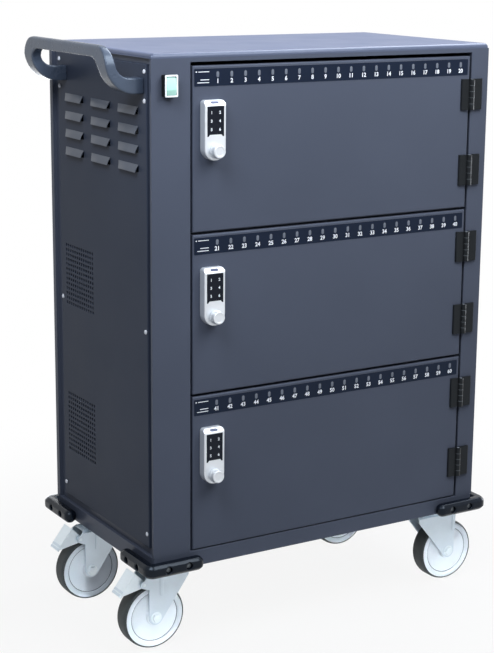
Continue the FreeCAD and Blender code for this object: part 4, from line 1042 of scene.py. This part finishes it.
caster = {
    "tyreDepth": 0.004,  # from the tread to the wheel's rim
    "tyreSeam": 0.0003,
    "tyreEase": 0.0012,
    "treadShoulder": 0.0045,
    "treadEdge": 0.002,
    "hub": ((0.0052, 0), (0.0155, 0), (0.017, 0.0012)),  # radius, and depth behind the hub's end
    "disc": (0.0172, 0.0022),  # radius, and depth behind the wheel's face
    "faceInset": 0.0008,
    "grooveRadius": 0.0483,
    "grooveWidth": 0.001,
    "groove": ((-1, 0.0012), (-0.6, 0.0024), (0.6, 0.0024), (1, 0.0004)),  # share of the width, and depth
    "lineDepths": (-0.0002, 0.0006),
    "rim": ((-0.003, 0), (-0.0002, 0.0006)),  # out from the rim, and depth
    "washerRadius": 0.0112,
    "washerHeight": 0.0016,
    "nutRadius": 0.0088,
    "nut": ((0, 0), (1, 0), (1, 0.78), (0.9, 0.9)),  # shares of the nut's radius and of the bolt's end
    "boltEnd": ((0.0052, 0.5), (0.0052, 0.94), (0.0045, 1), (0, 1)),  # radius, and share of the bolt's end
    "shaftRadius": 0.005,
    "beadWidth": 0.008,
    "beadLength": 0.042,
    "beadRise": 0.0012,
    "beadEdge": 0.00096,
    "beadAhead": 0.012,
    "beadDrop": 0.012,
}


def makeWheel(tyre, wheel):
    s = caster
    low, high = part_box(tyre)
    centre = middleOf(tyre)
    radius, half = (high.z - low.z) / 2, (high.y - low.y) / 2
    rim, ease, shoulder = radius - s["tyreDepth"], s["tyreEase"], s["treadShoulder"]
    side = [(rim, half - s["tyreSeam"]), (rim + ease, half), (radius - ease, half - shoulder / 2),
            (radius, half - shoulder - s["treadEdge"])]
    addFinish(tyre, aboutY(eased(mirrored(side), radius=0.003, steps=3), centre, closed=True))

    low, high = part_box(wheel)
    face, hubEnd = half - s["faceInset"], (high.y - low.y) / 2
    groove, width = s["grooveRadius"], s["grooveWidth"]
    side = [(r, hubEnd - depth) for r, depth in s["hub"]] + [(s["disc"][0], face - s["disc"][1])]
    side += [(groove + width * share, face - depth) for share, depth in s["groove"]]
    side += [(rim + out, face - depth) for out, depth in s["rim"]]
    addFinish(wheel, aboutY(mirrored(eased(side, radius=0.0006, steps=2)), centre, closed=True))
    floor = face - s["groove"][1][1]
    inward, outward = s["lineDepths"]
    # A dark ring in each groove: the seam between the wheel's core and rim, and painted shade in the groove
    lines = [aboutY([(groove + width / 2 * edge, sign * (floor + rise)) for edge, rise in
                     ((-1, inward), (-1, outward), (1, outward), (1, inward))], centre, closed=True)
             for sign in (-1, 1)]
    addPiece(wheel + "_groove_line", joined("lines", lines), "wheelLine", bodyOf(wheel), slotOf(wheel))
    return centre


def makeAxle(axle, fork, centre):
    s = caster
    boxes = [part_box(axle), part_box(fork)]
    meshes = []
    for sign in (-1, 1):
        end, cheek = ((box[0] if sign < 0 else box[1]).y for box in boxes)
        long = abs(end - cheek)
        turn = Matrix.Translation((centre.x, cheek, centre.z)) @ Matrix.Rotation(math.radians(-90 * sign), 4, "X")
        nut = [(s["nutRadius"] * out, long * up) for out, up in s["nut"]]
        bolt = [(out, long * up) for out, up in s["boltEnd"]]
        washer = eased([(0, 0), (s["washerRadius"], 0), (s["washerRadius"], s["washerHeight"]),
                        (nut[-1][0], s["washerHeight"])], radius=0.0004, steps=2)
        nut.append((bolt[0][0], nut[-1][1]))
        meshes += [placed(mesh, turn) for mesh in (
            meshFrom("washer", lambda work: lathe(work, washer, segments=48), smooth=35),
            bevelled(meshFrom("nut", lambda work: lathe(work, nut, segments=6)), width=0.0004, segments=2, angle=25),
            meshFrom("end", lambda work: lathe(work, bolt, segments=32), smooth=35))]
    shaft = [(s["shaftRadius"], corner.y - centre.y) for corner in boxes[1]]
    addFinish(axle, joined("axle", meshes + [aboutY(shaft, centre, segments=32)]), "pedalZinc")


def makeFork(fork, centre):
    s = caster
    softened(fork, width=0.0008, segments=3, angle=25)
    low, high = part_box(fork)
    outline = plateOutline(s["beadWidth"], s["beadLength"], s["beadWidth"] / 2 - hair)
    bead = bevelled(meshFrom("bead", lambda work: facePlate(work, outline, Vector(), s["beadRise"])),
                    width=s["beadEdge"], segments=4, angle=50)
    smoothByAngle(bead, degrees=60)
    x, z = centre.x + s["beadAhead"], high.z - s["beadDrop"] - s["beadLength"] / 2
    beads = [placed(bead, Matrix.Translation((x, y, z)) @ Matrix.Rotation(turn, 4, "Z"))
             for y, turn in ((low.y, 0), (high.y, math.pi))]
    addPiece(fork + "_beads", joined("beads", beads), "zinc", bodyOf(fork), slotOf(fork))


pedalRib = {
    "count": 2,
    "first": 0.0034,  # up the tread from its tip
    "pitch": 0.0068,
    "width": 0.032,
    "length": 0.0044,
    "rise": 0.0011,
    "tipPastWheel": 0.0095,
    "tipBelowTop": 0.011,
    "topBehindAxle": 0.041,
    "topOverWheel": 0.0305,
}


def makePedalRibs(name):
    # Raised ribs across the tread of a brake pedal
    s = pedalRib
    low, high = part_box(name + "_caster_tyre")
    centre = (low + high) / 2
    tip = Vector((low.x - s["tipPastWheel"], centre.y, high.z - s["tipBelowTop"]))
    top = Vector((centre.x - s["topBehindAxle"], centre.y, high.z + s["topOverWheel"]))
    along = (top - tip).normalized()
    outward = Vector((-along.z, 0, along.x))

    def build(work):
        capped(work, [[work.verts.new(along * a * s["length"] / 2 + outward * o * s["rise"] + Vector((0, y, 0)))
                       for a, o in ((-1, -1), (1, -1), (1, 1), (-1, 1))] for y in (-s["width"] / 2, s["width"] / 2)])
    rib = bevelled(meshFrom("rib", build), width=0.0006)
    smoothByAngle(rib, degrees=40)
    points = [tip + along * (s["first"] + n * s["pitch"]) for n in range(s["count"])]
    pedal = name + "_brake_pedal"
    addPiece(pedal + "_ribs", copiesOn(points, rib, "zinc"), "zinc", bodyOf(pedal), slotOf(pedal))


for name in casters:
    tyre, wheel, axle, fork = (name + "_caster_" + part for part in ("tyre", "wheel", "axle", "fork"))
    centre = makeWheel(tyre, wheel)
    makeAxle(axle, fork, centre)
    makeFork(fork, centre)
for name in braked:
    softened(name + "_brake_pedal", width=0.001, segments=3, finish="pedalZinc", angle=25)
    makePedalRibs(name)
softened("caster_plates")
softened("base_bolts", width=0.0004, finish="darkSteel", degrees=50)
print("casters made")


# Shell, handle, bumpers and hinges

hingeWasher = {"radius": 0.0056, "bore": 0.003, "height": 0.0008, "knuckles": 5}


def makeHingeWashers():
    # Steel washers between the hinge knuckles
    s = hingeWasher
    ring = mirrored([(s["bore"], s["height"] / 2), (s["radius"], s["height"] / 2)])
    washer = meshFrom("washer", lambda work: lathe(work, ring, segments=24, closed=True), smooth=35)
    points = []
    for low, high in solidBoxes("hinge_pins"):
        for n in range(1, s["knuckles"]):
            point = (low + high) / 2
            point.z = low.z + (high.z - low.z) * n / s["knuckles"]
            points.append(point)
    addPiece("hinge_washers", copiesOn(points, washer, "darkSteel"), "darkSteel", bodyOf("hinge_pins"),
             slotOf("hinge_pins"))


# The lid takes the bluer paint with a blue sheen: a painted sky reflection
softened("top_panel", width=0.0, finish="lidPaint", degrees=30)
# The right panel takes the darker side paint too: painted shade
softened("right_side_panel", width=0.0015, segments=3, finish="sidePaint", degrees=30)
for node, width in (("cabinet_frame", 0.0), ("base_tray", 0.002), ("back_panel", 0.0006)):
    softened(node, width, segments=3, degrees=30)
moulded("push_handle", voxel=0.0014, passes=10, finish="handlePlastic")
moulded("corner_bumpers", voxel=0.0012, passes=18, finish="bumperBlack")
for node in ["hinge_frame_leaves"] + [level + "_door_hinge_leaves" for level in levels]:
    softened(node, width=0.0005, degrees=50)
softened("hinge_pins", width=0.0, degrees=50)
makeHingeWashers()
print("shell, handle, bumpers and hinges made")

for node in ("fan_frames", "fan_rotor_upper", "fan_rotor_lower", "mains_inlet"):
    softened(node, width=0.0, degrees=35)

for node in frame["nodes"]:
    dressNode(node)
print("all nodes dressed")

bpy.context.view_layer.update()
